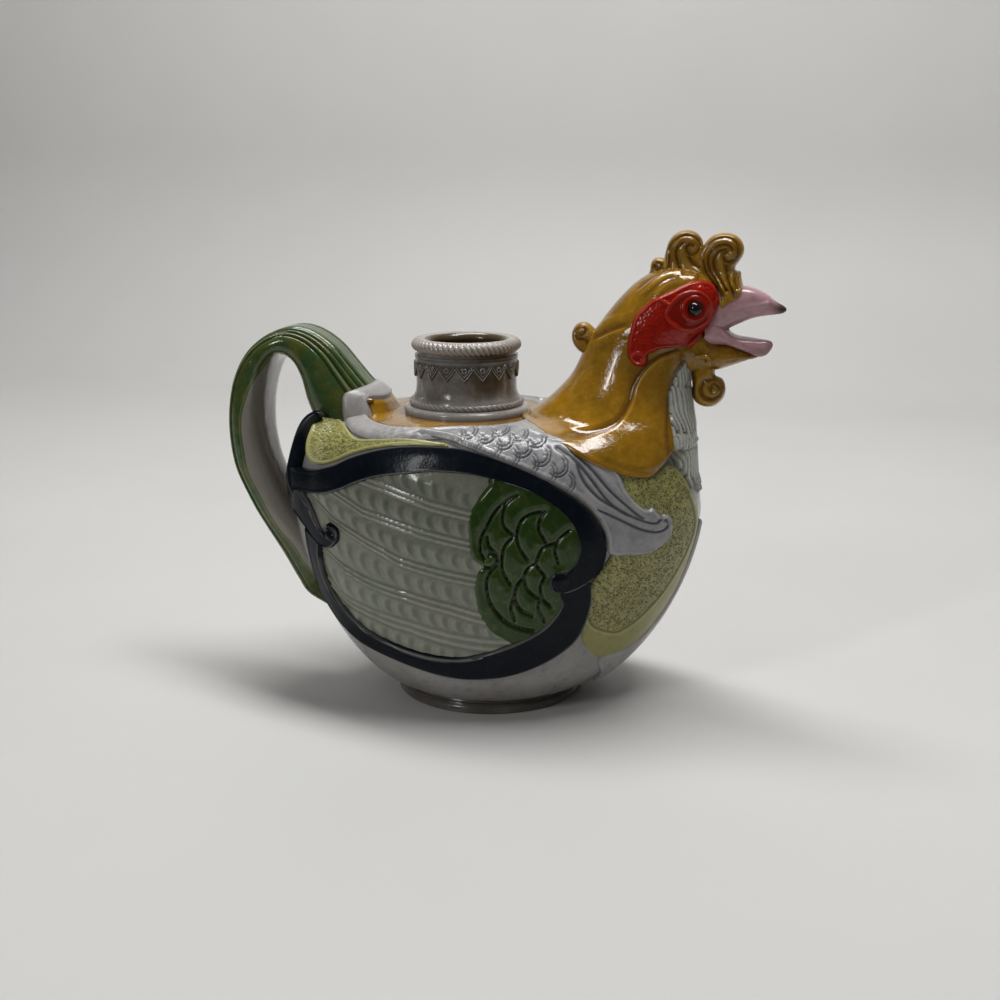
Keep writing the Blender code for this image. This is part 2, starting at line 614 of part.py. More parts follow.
def make_neck(mouth):
    neck = piece("neck_spout", shape("neck"), "ochre")
    boolean(neck, "DIFFERENCE", skin("body", GAP), cutter("neck_hollow", neck_cavity()), mouth)


def make_beak(mouth):
    head = skin("neck", GAP)
    upper = piece("beak_upper", shape("beak_upper"), "mauve")
    boolean(upper, "DIFFERENCE", head, mouth)
    lower = piece("beak_lower", shape("beak_lower"), "mauve")
    boolean(lower, "DIFFERENCE", head, mouth)
    chin = piece("chin", shape("chin"), "ochre")
    boolean(chin, "DIFFERENCE", skin("neck", PLATE + 2 * GAP), skin("beak_lower", GAP), mouth)


def make_curls():
    head, under = skin("neck", GAP), skin("neck", PLATE + 2 * GAP)
    front = curl(COMB_FRONT_ROOT, COMB_FRONT_CENTRE, COMB_FRONT_RADIUS, COMB_FRONT_START)
    boolean(piece("comb_curl_front", front, "ochre"), "DIFFERENCE", under, skin("beak_upper", GAP))
    rear = curl(COMB_REAR_ROOT, COMB_REAR_CENTRE, COMB_REAR_RADIUS, COMB_REAR_START)
    boolean(piece("comb_curl_rear", rear, "ochre"), "DIFFERENCE", head)
    nape = curl(NAPE_ROOT, NAPE_CENTRE, NAPE_RADIUS, NAPE_START)
    boolean(piece("nape_curl", nape, "ochre"), "DIFFERENCE", head)
    wattle = curl(WATTLE_ROOT, WATTLE_CENTRE, WATTLE_RADIUS, WATTLE_START)
    boolean(piece("wattle_curl", wattle, "ochre"), "DIFFERENCE", under, skin("chin", GAP))
    nub = bmesh.new()
    bmesh.ops.create_uvsphere(nub, u_segments=SMALL_TURN_COUNT, v_segments=SMALL_RING_COUNT, radius=NUB_RADIUS)
    middle = above_crown(NUB_CENTRE)
    bmesh.ops.translate(nub, verts=nub.verts, vec=(middle.x, 0, middle.y))
    boolean(piece("comb_nub", nub, "ochre"), "DIFFERENCE", head)


def oval(x, z, half_x, half_z):
    return [(x + half_x, z), (x, z + half_z), (x - half_x, z), (x, z - half_z)]


def head_half_width(x, z):
    # Half width of the head at a point of its side view.
    share = (z - BODY_TOP) / NECK_RISE
    below = max(k for k, section in enumerate(NECK_SECTIONS[:-1]) if section[0] <= share)
    low, high = NECK_SECTIONS[below], NECK_SECTIONS[below + 1]
    rear, front, half = (mix(a, b, (share - low[0]) / (high[0] - low[0])) * MM for a, b in zip(low[1:], high[1:]))
    lean = (x - (rear + front) / 2) / ((front - rear) / 2)
    return half * max(0.0, 1 - lean * lean) ** 0.5


def make_face():
    eye_z = CROWN - EYE_DROP
    on_patch = PLATE + 2 * GAP
    for end, side in (("right", -1), ("left", 1)):
        patch = piece("face_patch_" + end, flank_slab("patch", on_face(FACE_PATCH), side), "red")
        laid_on(patch, "neck", GAP, PLATE)
        boolean(patch, "DIFFERENCE", skin("beak_upper", GAP), skin("beak_lower", GAP), skin("chin", GAP))
        lid_outline = oval(EYE_X, eye_z, EYELID_HALF_LENGTH, EYELID_HALF_HEIGHT)
        lid = piece("eyelid_" + end, flank_slab("lid", lid_outline, side), "red")
        laid_on(lid, "neck", on_patch, LOW_TRIM)
        hole_size = EYE_RADIUS + GAP
        hole = cutter("eye_" + end, flank_slab("hole", oval(EYE_X, eye_z, hole_size, hole_size), side))
        boolean(lid, "DIFFERENCE", hole)
        eye = bmesh.new()
        bmesh.ops.create_uvsphere(eye, u_segments=SMALL_TURN_COUNT, v_segments=SMALL_RING_COUNT, radius=EYE_RADIUS)
        surface = head_half_width(EYE_X, eye_z) + on_patch
        bmesh.ops.translate(eye, verts=eye.verts, vec=(EYE_X, side * surface, eye_z))
        boolean(piece("eye_" + end, eye, "black"), "DIFFERENCE", skin("neck", on_patch))


def handle_bar(room=0.0):
    # A ribbed bar between the two faces of the handle, made larger by room on every side.
    outer, inner = ([(-BODY_REAR - x * MM, BODY_TOP + z * MM) for x, z in face] for face in (HANDLE_OUTER, HANDLE_INNER))
    half = [(aside, 1.0, cut * MM) for aside, cut in HANDLE_RIBS] + [(HANDLE_INNER_CORNER, 0.0, 0.0)]
    section = half + [(-aside, out, cut) for aside, out, cut in reversed(half[1:])]

    def width(share):
        if share < HANDLE_GRIP:
            return mix(HANDLE_ROOT_WIDTH, HANDLE_GRIP_WIDTH, share / HANDLE_GRIP)
        return mix(HANDLE_GRIP_WIDTH, HANDLE_TIP_WIDTH, (share - HANDLE_GRIP) / (1 - HANDLE_GRIP))

    def place(turn, ring):
        share = ring / (HANDLE_RING_COUNT - 1)
        aside, out, cut = section[round(turn / (2 * pi) * len(section)) % len(section)]
        far, near = along(outer, share), along(inner, share)
        way = (far - near).normalized()
        spot = mix(near - way * room, far + way * room, out) - way * cut
        return Vector((spot.x, aside * (width(share) / 2 + room), spot.y))
    return reshaped_sphere(len(section), HANDLE_RING_COUNT, place)


def make_handle():
    # The root stands on the body and, where the back's panels run under it, on those.
    covered = slab("covered", scaled(on_back(BACK_BORDER), 1 / INSET), BODY_TOP - BACK_DEPTH, BODY_TOP + WALL, "Z")
    panels = boolean(cutter("under_handle", covered), "INTERSECT", skin("body", LOW_TRIM + 2 * GAP))
    boolean(piece("handle_strap", handle_bar(), "green"), "DIFFERENCE", skin("body", GAP), panels)


def joined(*meshes):
    whole = bmesh.new()
    for bm in meshes:
        mesh = mesh_from("part", bm)
        whole.from_mesh(mesh)
        bpy.data.meshes.remove(mesh)
    return whole


def round_line(line, width):
    # The closed outline of a line drawn with a broad pen.
    spots = [Vector(spot) for spot in line]
    left, right = [], []
    for k, spot in enumerate(spots):
        way = (spots[min(k + 1, len(spots) - 1)] - spots[max(k - 1, 0)]).normalized()
        aside = Vector((-way.y, way.x)) * width / 2
        left.append(spot + aside)
        right.append(spot - aside)
    return left + right[::-1]


def flank_lines(name, lines, width, side):
    return joined(*(flank_slab(name, round_line(on_flank(line), width), side) for line in lines))


def make_flanks():
    neck = skin("neck", GAP)
    handle = cutter("handle_room", handle_bar(GAP))
    on_panel = PLATE + 2 * GAP
    for end, side in (("right", -1), ("left", 1)):
        outer, inner = on_flank(WING_OUTER), on_flank(WING_INNER)
        inset = cutter("wing_inset_" + end, flank_slab("inset", scaled(inner, INSET), side))
        plate = piece("wing_plate_" + end, flank_slab("plate", outer, side), "celadon")
        laid_on(plate, "body", GAP, PLATE)
        cords = cutter("feather_cords_" + end, flank_lines("cord", FEATHER_ROWS, FEATHER_CORD_WIDTH, side))
        scale_room = scaled(on_flank(WING_SCALES), 1 / INSET)
        boolean(cords, "INTERSECT", inset)
        boolean(cords, "DIFFERENCE", cutter("scale_room_" + end, flank_slab("room", scale_room, side)))
        boolean(plate, "UNION", laid_on(cords, "body", GAP + PLATE / 2, PLATE / 2 + FEATHER_CORD_RISE))
        band = piece("wing_frame_" + end, flank_slab("band", outer, side), "navy")
        boolean(band, "DIFFERENCE", cutter("wing_inner_" + end, flank_slab("inner", inner, side)))
        laid_on(band, "body", on_panel, TRIM)

        scales = piece("wing_scales_" + end, flank_slab("scales", on_flank(WING_SCALES), side), "green")
        boolean(scales, "INTERSECT", inset)
        laid_on(scales, "body", on_panel, LOW_TRIM)
        grooves = cutter("scale_grooves_" + end, flank_lines("groove", SCALE_GROOVES, SCALE_GROOVE_WIDTH, side))
        boolean(grooves, "DIFFERENCE", skin("body", on_panel + LOW_TRIM - SCALE_GROOVE_DEPTH))
        boolean(scales, "DIFFERENCE", grooves)

        beside_keel = KEEL_HALF_WIDTH + 3 * GAP
        breast = piece("breast_panel_" + end, flank_slab("breast", on_flank(BREAST_PANEL), side, beside_keel), "moss")
        beyond_wing = cutter("wing_room_" + end, flank_slab("room", scaled(outer, 1 / INSET), side))
        boolean(laid_on(breast, "body", GAP, PLATE), "DIFFERENCE", neck, beyond_wing)
        scroll = piece("shoulder_scroll_" + end, flank_slab("scroll", on_flank(SHOULDER_SCROLL), side), "lilac")
        boolean(laid_on(scroll, "body", on_panel, LOW_TRIM), "DIFFERENCE", neck, beyond_wing)
        tail = piece("tail_panel_" + end, flank_slab("tail", on_flank(TAIL_PANEL), side), "moss")
        boolean(laid_on(tail, "body", GAP, PLATE), "DIFFERENCE", beyond_wing, handle)


def make_back():
    neck = skin("neck", GAP)
    low, high = BODY_TOP - BACK_DEPTH, BODY_TOP + WALL
    flange = COLLAR_RADIUS + FLANGE_REACH + 2 * GAP
    collar = cutter("collar_seat", rod(low, high + WALL, flange, "Z", COLLAR_X))
    saddle = piece("saddle_panel", slab("saddle", on_back(SADDLE_PANEL), low, high, "Z"), "ochre")
    laid_on(saddle, "body", GAP, PLATE)
    boolean(saddle, "DIFFERENCE", collar, neck)
    border = piece("back_border", slab("border", on_back(BACK_BORDER), low, high, "Z"), "lilac")
    laid_on(border, "body", GAP, LOW_TRIM)
    room = scaled(on_back(SADDLE_PANEL), 1 / INSET)
    boolean(border, "DIFFERENCE", cutter("saddle_room", slab("room", room, low, high + WALL, "Z")), neck)


def make_front():
    def height(share):
        return BODY_FLOOR + share * (BODY_TOP - BODY_FLOOR)

    keel = piece("breast_keel", slab("keel", both_halves(KEEL_LEAF, height), KEEL_START, FAR, "X"), "lilac")
    laid_on(keel, "body", GAP, LOW_TRIM)
    for name, half in (("bib_tier_top", BIB_TOP), ("bib_tier_middle", BIB_MIDDLE)):
        tier = piece(name, slab(name, both_halves(half, rise_at), BIB_START, FAR, "X"), "lilac")
        laid_on(tier, "neck", GAP, PLATE)
        boolean(tier, "DIFFERENCE", skin("body", PLATE + 2 * GAP))
    lowest = slab("bib_tier_bottom", both_halves(BIB_BOTTOM, rise_at), KEEL_START, FAR, "X")
    tier = piece("bib_tier_bottom", lowest, "lilac")
    boolean(laid_on(tier, "body", PLATE + 2 * GAP, LOW_TRIM), "DIFFERENCE", skin("neck", PLATE + 2 * GAP))


mouth_rod = rod(MOUTH_START, MOUTH_END, MOUTH_RADIUS, "X", CROWN - MOUTH_DROP, MOUTH_SIDE_COUNT)
mouth_hole = cutter("mouth", mouth_rod)
make_body()
make_foot()
make_collar()
make_neck(mouth_hole)
make_beak(mouth_hole)
make_curls()
make_face()
make_handle()
make_flanks()
make_back()
make_front()
bpy.context.view_layer.update()
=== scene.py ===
from math import cos, pi, radians, sin
import bmesh
import bpy
import numpy as np
from mathutils import Matrix, Vector, noise
from mathutils.bvhtree import BVHTree
from mathutils.interpolate import poly_3d_calc


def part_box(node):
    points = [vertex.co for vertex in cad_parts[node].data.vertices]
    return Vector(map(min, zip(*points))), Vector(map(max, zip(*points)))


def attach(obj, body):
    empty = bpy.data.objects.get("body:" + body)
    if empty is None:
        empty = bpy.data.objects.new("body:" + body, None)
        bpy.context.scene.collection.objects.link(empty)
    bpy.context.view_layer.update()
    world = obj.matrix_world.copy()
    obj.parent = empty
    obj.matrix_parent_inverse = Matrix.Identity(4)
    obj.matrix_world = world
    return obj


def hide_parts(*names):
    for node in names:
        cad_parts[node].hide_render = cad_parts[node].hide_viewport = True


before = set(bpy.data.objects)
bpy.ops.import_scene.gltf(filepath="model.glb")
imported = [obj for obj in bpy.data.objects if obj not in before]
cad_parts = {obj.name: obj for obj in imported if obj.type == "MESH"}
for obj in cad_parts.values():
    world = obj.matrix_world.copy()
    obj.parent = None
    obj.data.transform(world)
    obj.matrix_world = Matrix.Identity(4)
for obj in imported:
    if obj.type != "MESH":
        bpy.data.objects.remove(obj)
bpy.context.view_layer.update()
footLow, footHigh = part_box("foot_ring")
toFrame = Matrix.Translation(((footLow.x + footHigh.x) / 2, 0, 0)) @ Matrix.Scale(0.001, 4)
# Every piece is drawn in millimetres about the middle of the foot: +X beak, +Y the bird's left, +Z up.


# Lines, distances and blends
def splined(points, closed=False):            # smooth line through the points, twelve steps between each two
    knots = np.array(points, float)
    if closed:
        knots = np.vstack([knots[-1:], knots, knots[:2]])
    else:
        knots = np.vstack([2 * knots[:1] - knots[1:2], knots, 2 * knots[-1:] - knots[-2:-1]])
    t = np.linspace(0, 1, 12, endpoint=False)[:, None]
    runs = []
    for a, b, c, d in zip(knots, knots[1:], knots[2:], knots[3:]):
        bend = (2 * a - 5 * b + 4 * c - d) * t ** 2 / 2
        twist = (3 * b - a - 3 * c + d) * t ** 3 / 2
        runs.append(b + (c - a) * t / 2 + bend + twist)
    return np.vstack(runs + [knots[-2:-1]])


def curveThrough(points, count, closed=False):   # the same line at even steps
    line = splined(points, closed)
    gone = np.r_[0, np.cumsum(np.linalg.norm(np.diff(line, axis=0), axis=1))]
    want = np.linspace(0, gone[-1], count)
    return np.column_stack([np.interp(want, gone, axis) for axis in line.T])


def nearLine(spots, line):                   # distance, share along the line, signed side
    best = np.full(len(spots), 1e9)
    share, side = np.zeros(len(spots)), np.zeros(len(spots))
    runs = np.diff(line, axis=0)
    sizes = np.linalg.norm(runs, axis=1) + 1e-9
    starts = np.r_[0, np.cumsum(sizes)]
    for k, (start, run, size) in enumerate(zip(line, runs, sizes)):
        t = np.clip((spots - start) @ run / size ** 2, 0, 1)
        off = spots - start - t[:, None] * run
        gap = np.hypot(off[:, 0], off[:, 1])
        closer = gap < best
        best[closer] = gap[closer]
        share[closer] = (starts[k] + t[closer] * size) / starts[-1]
        side[closer] = np.sign(run[0] * off[closer, 1] - run[1] * off[closer, 0])
    return best, share, side


def insideOutline(spots, outline):
    x, y = spots.T
    inside = np.zeros(len(spots), bool)
    for (ax, ay), (bx, by) in zip(outline, np.roll(outline, -1, axis=0)):
        crosses = (ay > y) != (by > y)
        inside ^= crosses & (x < ax + (y - ay) * (bx - ax) / (by - ay + 1e-12))
    return inside


def fade(value, low, high):                  # 0 before low, 1 after high, smooth between
    t = np.clip((value - low) / (high - low), 0, 1)
    return t * t * (3 - 2 * t)


def ridge(distance, width):                  # round-backed rib of that half width
    return np.clip(1 - (distance / width) ** 2, 0, 1)


def softMax(a, b, blend):
    h = np.clip(0.5 + 0.5 * (a - b) / blend, 0, 1)
    return b + (a - b) * h + blend * h * (1 - h)


def roundOff(share):                         # quarter round: upright at 0, level from 1 on
    return np.sqrt(1 - (1 - np.clip(share, 0, 1)) ** 2)


def bulged(value, power):                    # keeps the sign and raises the size to a power
    return np.sign(value) * np.abs(value) ** power


def onLine(line, share):                     # places at those shares of a line's steps
    steps = np.linspace(0, 1, len(line))
    return np.column_stack([np.interp(share, steps, axis) for axis in line.T])


def nearestOf(spots, lines):                 # distance to the closest of several lines
    return np.minimum.reduce([nearLine(spots, line)[0] for line in lines])


def halfToWhole(half, count, mirror):        # closed outline from one half, which mirror turns into the other
    half = np.array(half, float)
    return curveThrough(np.vstack([half, half[-2:0:-1] * mirror]), count, closed=True)


def grain(spots, scale, seed=0):             # cheap smooth noise of about -1 to 1, the same each run
    rng = np.random.default_rng(seed)
    total = np.zeros(len(spots))
    for k in range(9):
        way = rng.normal(size=spots.shape[1])
        way /= np.linalg.norm(way)
        total += np.sin(spots @ way * (0.7 + 0.07 * k) * 2 * pi / scale + rng.uniform(0, 2 * pi))
    return total / 4.5


# Bmesh helpers
layerNames = ("pool", "edge", "tint")         # dark glaze in hollows and painted shade, worn glaze on ridges and one painted highlight, second colour and painted shade


def newMesh():
    bm = bmesh.new()
    for name in layerNames:
        bm.verts.layers.float.new(name)
    return bm


def coords(bm):
    return np.array([vert.co[:] for vert in bm.verts])


def setCoords(bm, points):
    for vert, point in zip(bm.verts, points):
        vert.co = point


def paint(bm, **values):
    for name, numbers in values.items():
        layer = bm.verts.layers.float[name]
        for vert, number in zip(bm.verts, np.broadcast_to(numbers, len(bm.verts))):
            vert[layer] = number


def gridPatch(across, along):                 # a flat sheet with both coordinates from 0 to 1
    bm = newMesh()
    bmesh.ops.create_grid(bm, x_segments=across, y_segments=along, size=0.5)
    return bm, coords(bm)[:, :2] + 0.5


def reshapedSphere(turns, rings, shape):      # shape(turn, share) gives points; seam and poles are sewn up
    bm, flat = gridPatch(turns, rings + 1)
    column = np.rint(flat[:, 0] * turns).astype(int)
    row = np.rint(flat[:, 1] * (rings + 1)).astype(int)
    turn, share = 2 * pi * column / turns, np.clip(row - 1, 0, rings - 1) / (rings - 1)
    turn = np.where(turn > pi, turn - 2 * pi, turn)
    points = shape(turn, share)
    for pole, end in ((0, 1), (rings + 1, rings)):
        points[row == pole] = points[(row == end) & (column < turns)].mean(axis=0)
    setCoords(bm, points)
    verts = {(c, r): vert for vert, c, r in zip(bm.verts, column, row)}
    keep = (column < turns) & (row > 0) & (row <= rings) | (column == 0)
    sewn = {verts[c, r]: verts[0, r] for c, r in zip(column[~keep], row[~keep])}
    bmesh.ops.weld_verts(bm, targetmap=sewn)
    return bm, turn[keep], share[keep]


def finishPiece(name, bm, material, nodes):
    bmesh.ops.transform(bm, matrix=toFrame, verts=bm.verts)
    bmesh.ops.recalc_face_normals(bm, faces=bm.faces)
    mesh = bpy.data.meshes.new(name)
    bm.to_mesh(mesh)
    bm.free()
    mesh.shade_smooth()
    mesh.set_sharp_from_angle(angle=radians(50))
    mesh.materials.append(material)
    made = bpy.data.objects.new(name, mesh)
    bpy.context.scene.collection.objects.link(made)
    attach(made, "root")
    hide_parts(*nodes)


def bothSides(name, bm, material, node):
    twin = bm.copy()
    finishPiece(name + "_right", bm, material, [node + "_right"])
    bmesh.ops.scale(twin, vec=(1, -1, 1), verts=twin.verts)
    finishPiece(name + "_left", twin, material, [node + "_left"])


# Glazes
class Value:                                  # one node output that works in sums
    def __init__(self, tree, socket):
        self.tree, self.socket = tree, socket

    def math(self, operation, other, swapped=False):
        node = self.tree.nodes.new("ShaderNodeMath")
        node.operation = operation
        for put, value in zip(node.inputs, (other, self) if swapped else (self, other)):
            if isinstance(value, Value):
                self.tree.links.new(value.socket, put)
            else:
                put.default_value = value
        return Value(self.tree, node.outputs[0])

    def __add__(self, other): return self.math("ADD", other)
    def __radd__(self, other): return self.math("ADD", other, True)
    def __sub__(self, other): return self.math("SUBTRACT", other)
    def __rsub__(self, other): return self.math("SUBTRACT", other, True)
    def __mul__(self, other): return self.math("MULTIPLY", other)
    def __rmul__(self, other): return self.math("MULTIPLY", other, True)


class Finish:
    def __init__(self, name):
        self.material = bpy.data.materials.new(name)
        self.material.use_nodes = True
        self.tree = self.material.node_tree
        self.shader = self.tree.nodes["Principled BSDF"]

    def node(self, kind, settings=None, sockets=None, output=0):
        made = self.tree.nodes.new("ShaderNode" + kind)
        for key, value in (settings or {}).items():
            if key == "stops":
                ramp = made.color_ramp.elements
                while len(ramp) < len(value):
                    ramp.new(0.5)
                for stop, (spot, colour) in zip(ramp, value):
                    stop.position = spot
                    stop.color = (*colour, 1) if hasattr(colour, "__len__") else (colour,) * 3 + (1,)
            else:
                setattr(made, key, value)
        for key, value in (sockets or {}).items():
            self.put(made.inputs[key], value)
        return Value(self.tree, made.outputs[output])

    def put(self, socket, value):
        if isinstance(value, Value):
            self.tree.links.new(value.socket, socket)
        elif hasattr(value, "__len__") and socket.type == "RGBA":
            socket.default_value = (*value, 1)
        else:
            socket.default_value = value

    def blend(self, low, high, share, mode="MIX"):
        return self.node("Mix", {"data_type": "RGBA", "blend_type": mode}, {0: share, 6: low, 7: high}, 2)

    def spots(self, scale, detail=2.0, rough=0.5):
        here = self.node("TexCoord", output=3)
        values = {"Vector": here, "Scale": scale, "Detail": detail, "Roughness": rough}
        return self.node("TexNoise", None, values)

    def ramp(self, share, *stops):
        return self.node("ValToRGB", {"stops": stops}, {"Fac": share})

    def between(self, share, stops, low=0.0, high=1.0):   # low up to the first stop, high from the second
        return self.ramp(share, (stops[0], low), (stops[1], high))

    def drawn(self, name):
        return self.node("Attribute", {"attribute_name": name}, None, 2)


glazeUsual = {                                # what a glaze has unless its own values say otherwise
    "cloudScale": 70, "fineScale": 900, "mottleScale": 230, "speckScale": 520, "skinScale": 120,
    "drift": 0.5, "pale": 0.28, "dark": 0.28,
    "poolBreak": 0.35, "wearBreak": 0.8, "smear": 0.5, "specks": 0.25,
    "driftStops": (0.32, 0.68), "paleStops": (0.52, 0.74), "darkStops": (0.28, 0.48), "poolStops": (0.0, 1.0),
    "wearStops": (0.15, 0.95), "smearStops": (0.1, 0.9), "speckStops": (0.66, 0.74),
    "gloss": 0.15, "dull": 0.1, "coat": 0.2, "coatRough": 0.06, "ior": 1.52, "specular": 0.4,
    "skin": 0.22, "skinDeep": 0.001, "skinFine": 0.3}


def glaze(name, own):
    look = {**glazeUsual, **own}
    finish = Finish(name)
    cloud = finish.spots(look["cloudScale"], 3.0)
    fine = finish.spots(look["fineScale"], 2.0)
    pool, edge, tint = (finish.drawn(layer) for layer in layerNames)
    drift = finish.between(cloud, look["driftStops"])
    colour = finish.blend(look["main"], look["shade"], drift * look["drift"])
    mottle = finish.spots(look["mottleScale"], 4.0, 0.65)      # blotches of thinner and thicker glaze
    pale = finish.between(mottle, look["paleStops"])
    colour = finish.blend(colour, look["thin"], pale * look["pale"])
    dark = finish.between(mottle, look["darkStops"], 1.0, 0.0)
    colour = finish.blend(colour, look["pooledAndShade"], dark * look["dark"])
    # dark glaze where it pools in hollows, and painted shade where a piece paints shade into this layer
    poolAndShadeAmount = pool + (fine - 0.5) * look["poolBreak"] * pool
    colour = finish.blend(colour, look["pooledAndShade"], finish.between(poolAndShadeAmount, look["poolStops"]))
    # pale where the glaze is worn thin, and a painted highlight where a piece paints one into this layer
    worn = edge + (cloud - 0.5) * look["wearBreak"] * edge
    colour = finish.blend(colour, look["thin"], finish.between(worn, look["wearStops"]))
    if "other" in look:
        smear = tint + (cloud - 0.5) * look["smear"] * tint
        colour = finish.blend(colour, look["other"], finish.between(smear, look["smearStops"]))
    specks = finish.between(finish.spots(look["speckScale"], 1.0), look["speckStops"])
    colour = finish.blend(colour, look.get("speck", look["pooledAndShade"]), specks * look["specks"])
    shader = finish.shader.inputs
    finish.put(shader["Base Color"], colour)
    finish.put(shader["Roughness"], look["gloss"] + look["dull"] * cloud * (1 - pool * 0.5))
    shader["Coat Weight"].default_value = look["coat"]
    shader["Coat Roughness"].default_value = look["coatRough"]
    shader["IOR"].default_value = look["ior"]
    shader["Specular IOR Level"].default_value = look["specular"]
    skin = finish.spots(look["skinScale"], 2.0) + fine * look["skinFine"]
    relief = {"Strength": look["skin"], "Distance": look["skinDeep"], "Height": skin}
    finish.put(shader["Normal"], finish.node("Bump", None, relief))
    return finish.material


greyGlaze = glaze("grey_glaze_finish", {
    "main": (0.34, 0.33, 0.32), "shade": (0.26, 0.24, 0.225), "pooledAndShade": (0.055, 0.045, 0.035),
    "thin": (0.40, 0.37, 0.34), "other": (0.075, 0.066, 0.056), "speck": (0.13, 0.09, 0.05)})
lilacGlaze = glaze("lilac_glaze_finish", {
    "main": (0.345, 0.33, 0.32), "shade": (0.24, 0.23, 0.235), "pooledAndShade": (0.05, 0.05, 0.058),
    "thin": (0.47, 0.435, 0.41), "speck": (0.15, 0.115, 0.09), "gloss": 0.3, "coat": 0.08})
plumeGlaze = glaze("plume_glaze_finish", {
    "main": (0.345, 0.34, 0.34), "shade": (0.20, 0.207, 0.225), "pooledAndShade": (0.035, 0.036, 0.045), "drift": 0.8,
    "thin": (0.40, 0.38, 0.36), "speck": (0.15, 0.115, 0.09), "gloss": 0.22, "coat": 0.1})
ochreGlaze = glaze("ochre_glaze_finish", {
    "main": (0.31, 0.15, 0.004), "shade": (0.17, 0.092, 0.004), "pooledAndShade": (0.085, 0.024, 0.002),
    "thin": (0.50, 0.28, 0.05), "gloss": 0.05, "coat": 0.45, "specular": 0.35, "specks": 0.12, "skin": 0.5,
    "drift": 0.75})
celadonGlaze = glaze("celadon_glaze_finish", {
    "main": (0.195, 0.215, 0.165), "shade": (0.225, 0.195, 0.155), "pooledAndShade": (0.045, 0.075, 0.055),
    "thin": (0.36, 0.33, 0.26), "speck": (0.11, 0.09, 0.06)})
leafGlaze = glaze("leaf_glaze_finish", {
    "main": (0.018, 0.046, 0.006), "shade": (0.03, 0.048, 0.006), "pooledAndShade": (0.003, 0.007, 0.003),
    "thin": (0.13, 0.16, 0.05), "gloss": 0.12, "coat": 0.15, "specular": 0.25, "specks": 0.1,
    "poolBreak": 0.1})
navyGlaze = glaze("navy_glaze_finish", {
    "main": (0.003, 0.0055, 0.0095), "shade": (0.006, 0.009, 0.014), "pooledAndShade": (0.002, 0.003, 0.005),
    "thin": (0.16, 0.16, 0.15), "gloss": 0.14, "coat": 0.03, "specular": 0.1, "pale": 0.03, "dark": 0.3,
    "specks": 0.1})
mossGlaze = glaze("moss_glaze_finish", {
    "main": (0.37, 0.35, 0.115), "shade": (0.27, 0.27, 0.085), "pooledAndShade": (0.075, 0.076, 0.02),
    "thin": (0.42, 0.385, 0.20), "specks": 0.15, "gloss": 0.3, "coat": 0.08})
handleGlaze = glaze("handle_glaze_finish", {
    "main": (0.022, 0.072, 0.022), "shade": (0.075, 0.085, 0.012), "pooledAndShade": (0.005, 0.013, 0.006),
    "thin": (0.19, 0.21, 0.09), "other": (0.26, 0.235, 0.205), "gloss": 0.06, "coat": 0.35, "specular": 0.35,
    "specks": 0.2, "smear": 0.15, "cloudScale": 95, "drift": 1.0, "skin": 0.4})
redGlaze = glaze("red_glaze_finish", {
    "main": (0.36, 0.010, 0.002), "shade": (0.27, 0.008, 0.002), "pooledAndShade": (0.075, 0.003, 0.002),
    "thin": (0.43, 0.045, 0.02), "gloss": 0.16, "coat": 0.12, "specular": 0.2, "specks": 0.1})
mauveGlaze = glaze("mauve_glaze_finish", {
    "main": (0.48, 0.275, 0.295), "shade": (0.40, 0.22, 0.24), "pooledAndShade": (0.055, 0.028, 0.02),
    "thin": (0.50, 0.33, 0.34), "other": (0.04, 0.028, 0.02), "specks": 0.15})
bibGlaze = glaze("bib_glaze_finish", {
    "main": (0.48, 0.49, 0.43), "shade": (0.38, 0.40, 0.36), "pooledAndShade": (0.075, 0.09, 0.085),
    "thin": (0.55, 0.55, 0.49), "specks": 0.15})
collarGlaze = glaze("collar_glaze_finish", {
    "main": (0.225, 0.22, 0.21), "shade": (0.12, 0.10, 0.08), "pooledAndShade": (0.045, 0.036, 0.026),
    "cloudScale": 110, "drift": 0.8, "thin": (0.44, 0.39, 0.345), "other": (0.075, 0.05, 0.022),
    "speck": (0.10, 0.07, 0.035)})
blackGlaze = glaze("eye_glaze_finish", {
    "main": (0.004, 0.004, 0.005), "shade": (0.007, 0.006, 0.006), "pooledAndShade": (0.003, 0.003, 0.003),
    "thin": (0.08, 0.02, 0.018), "gloss": 0.03, "coat": 0.2, "specular": 0.3, "specks": 0.0, "skin": 0.02})
print("Glazes mixed")


# The two big forms that all the relief lies on
bodyForm = {
    "front": 104, "rear": 101, "half": 63, "top": 140, "breast": 96, "tail": 100, "flank": 90,
    "belly": 1.66, "bellyFront": 1.6, "bellyRear": 1.7, "breastFull": 2.8, "tailFull": 3.0, "flankFull": 3.4,
    "floor": 7, "floorRadius": 46.8, "collarX": -12, "saddleRadius": 33, "bore": 20, "wall": 5,
    "middle": 74, "reach": (100, 63, 66)}       # the inner wall is the outer one drawn in towards this height


def bodyAt(turn, rise):                       # rise runs from -1 at the foot to 1 at the saddle
    form = bodyForm
    across, aside = np.cos(turn), np.sin(turn)
    end, front, below = across ** 2, across >= 0, rise < 0
    widest = form["flank"] + (np.where(front, form["breast"], form["tail"]) - form["flank"]) * end
    endFull = np.where(front, form["breastFull"], form["tailFull"])
    full = form["flankFull"] + (endFull - form["flankFull"]) * end
    belly = form["belly"] + (np.where(front, form["bellyFront"], form["bellyRear"]) - form["belly"]) * end
    power = 2 / np.where(below, belly, full)
    near = np.where(below, form["floorRadius"], form["saddleRadius"])
    lift = np.abs(rise) * pi / 2
    out, away = np.clip(np.cos(lift), 0, 1) ** power, np.sin(lift) ** power
    nearX = near * across + np.where(below, 0, form["collarX"])
    x = nearX + (np.where(front, form["front"], form["rear"]) * across - nearX) * out
    y = near * aside + (form["half"] - near) * aside * out
    z = widest + (np.where(below, form["floor"], form["top"]) - widest) * away
    return np.column_stack([x, y, z])


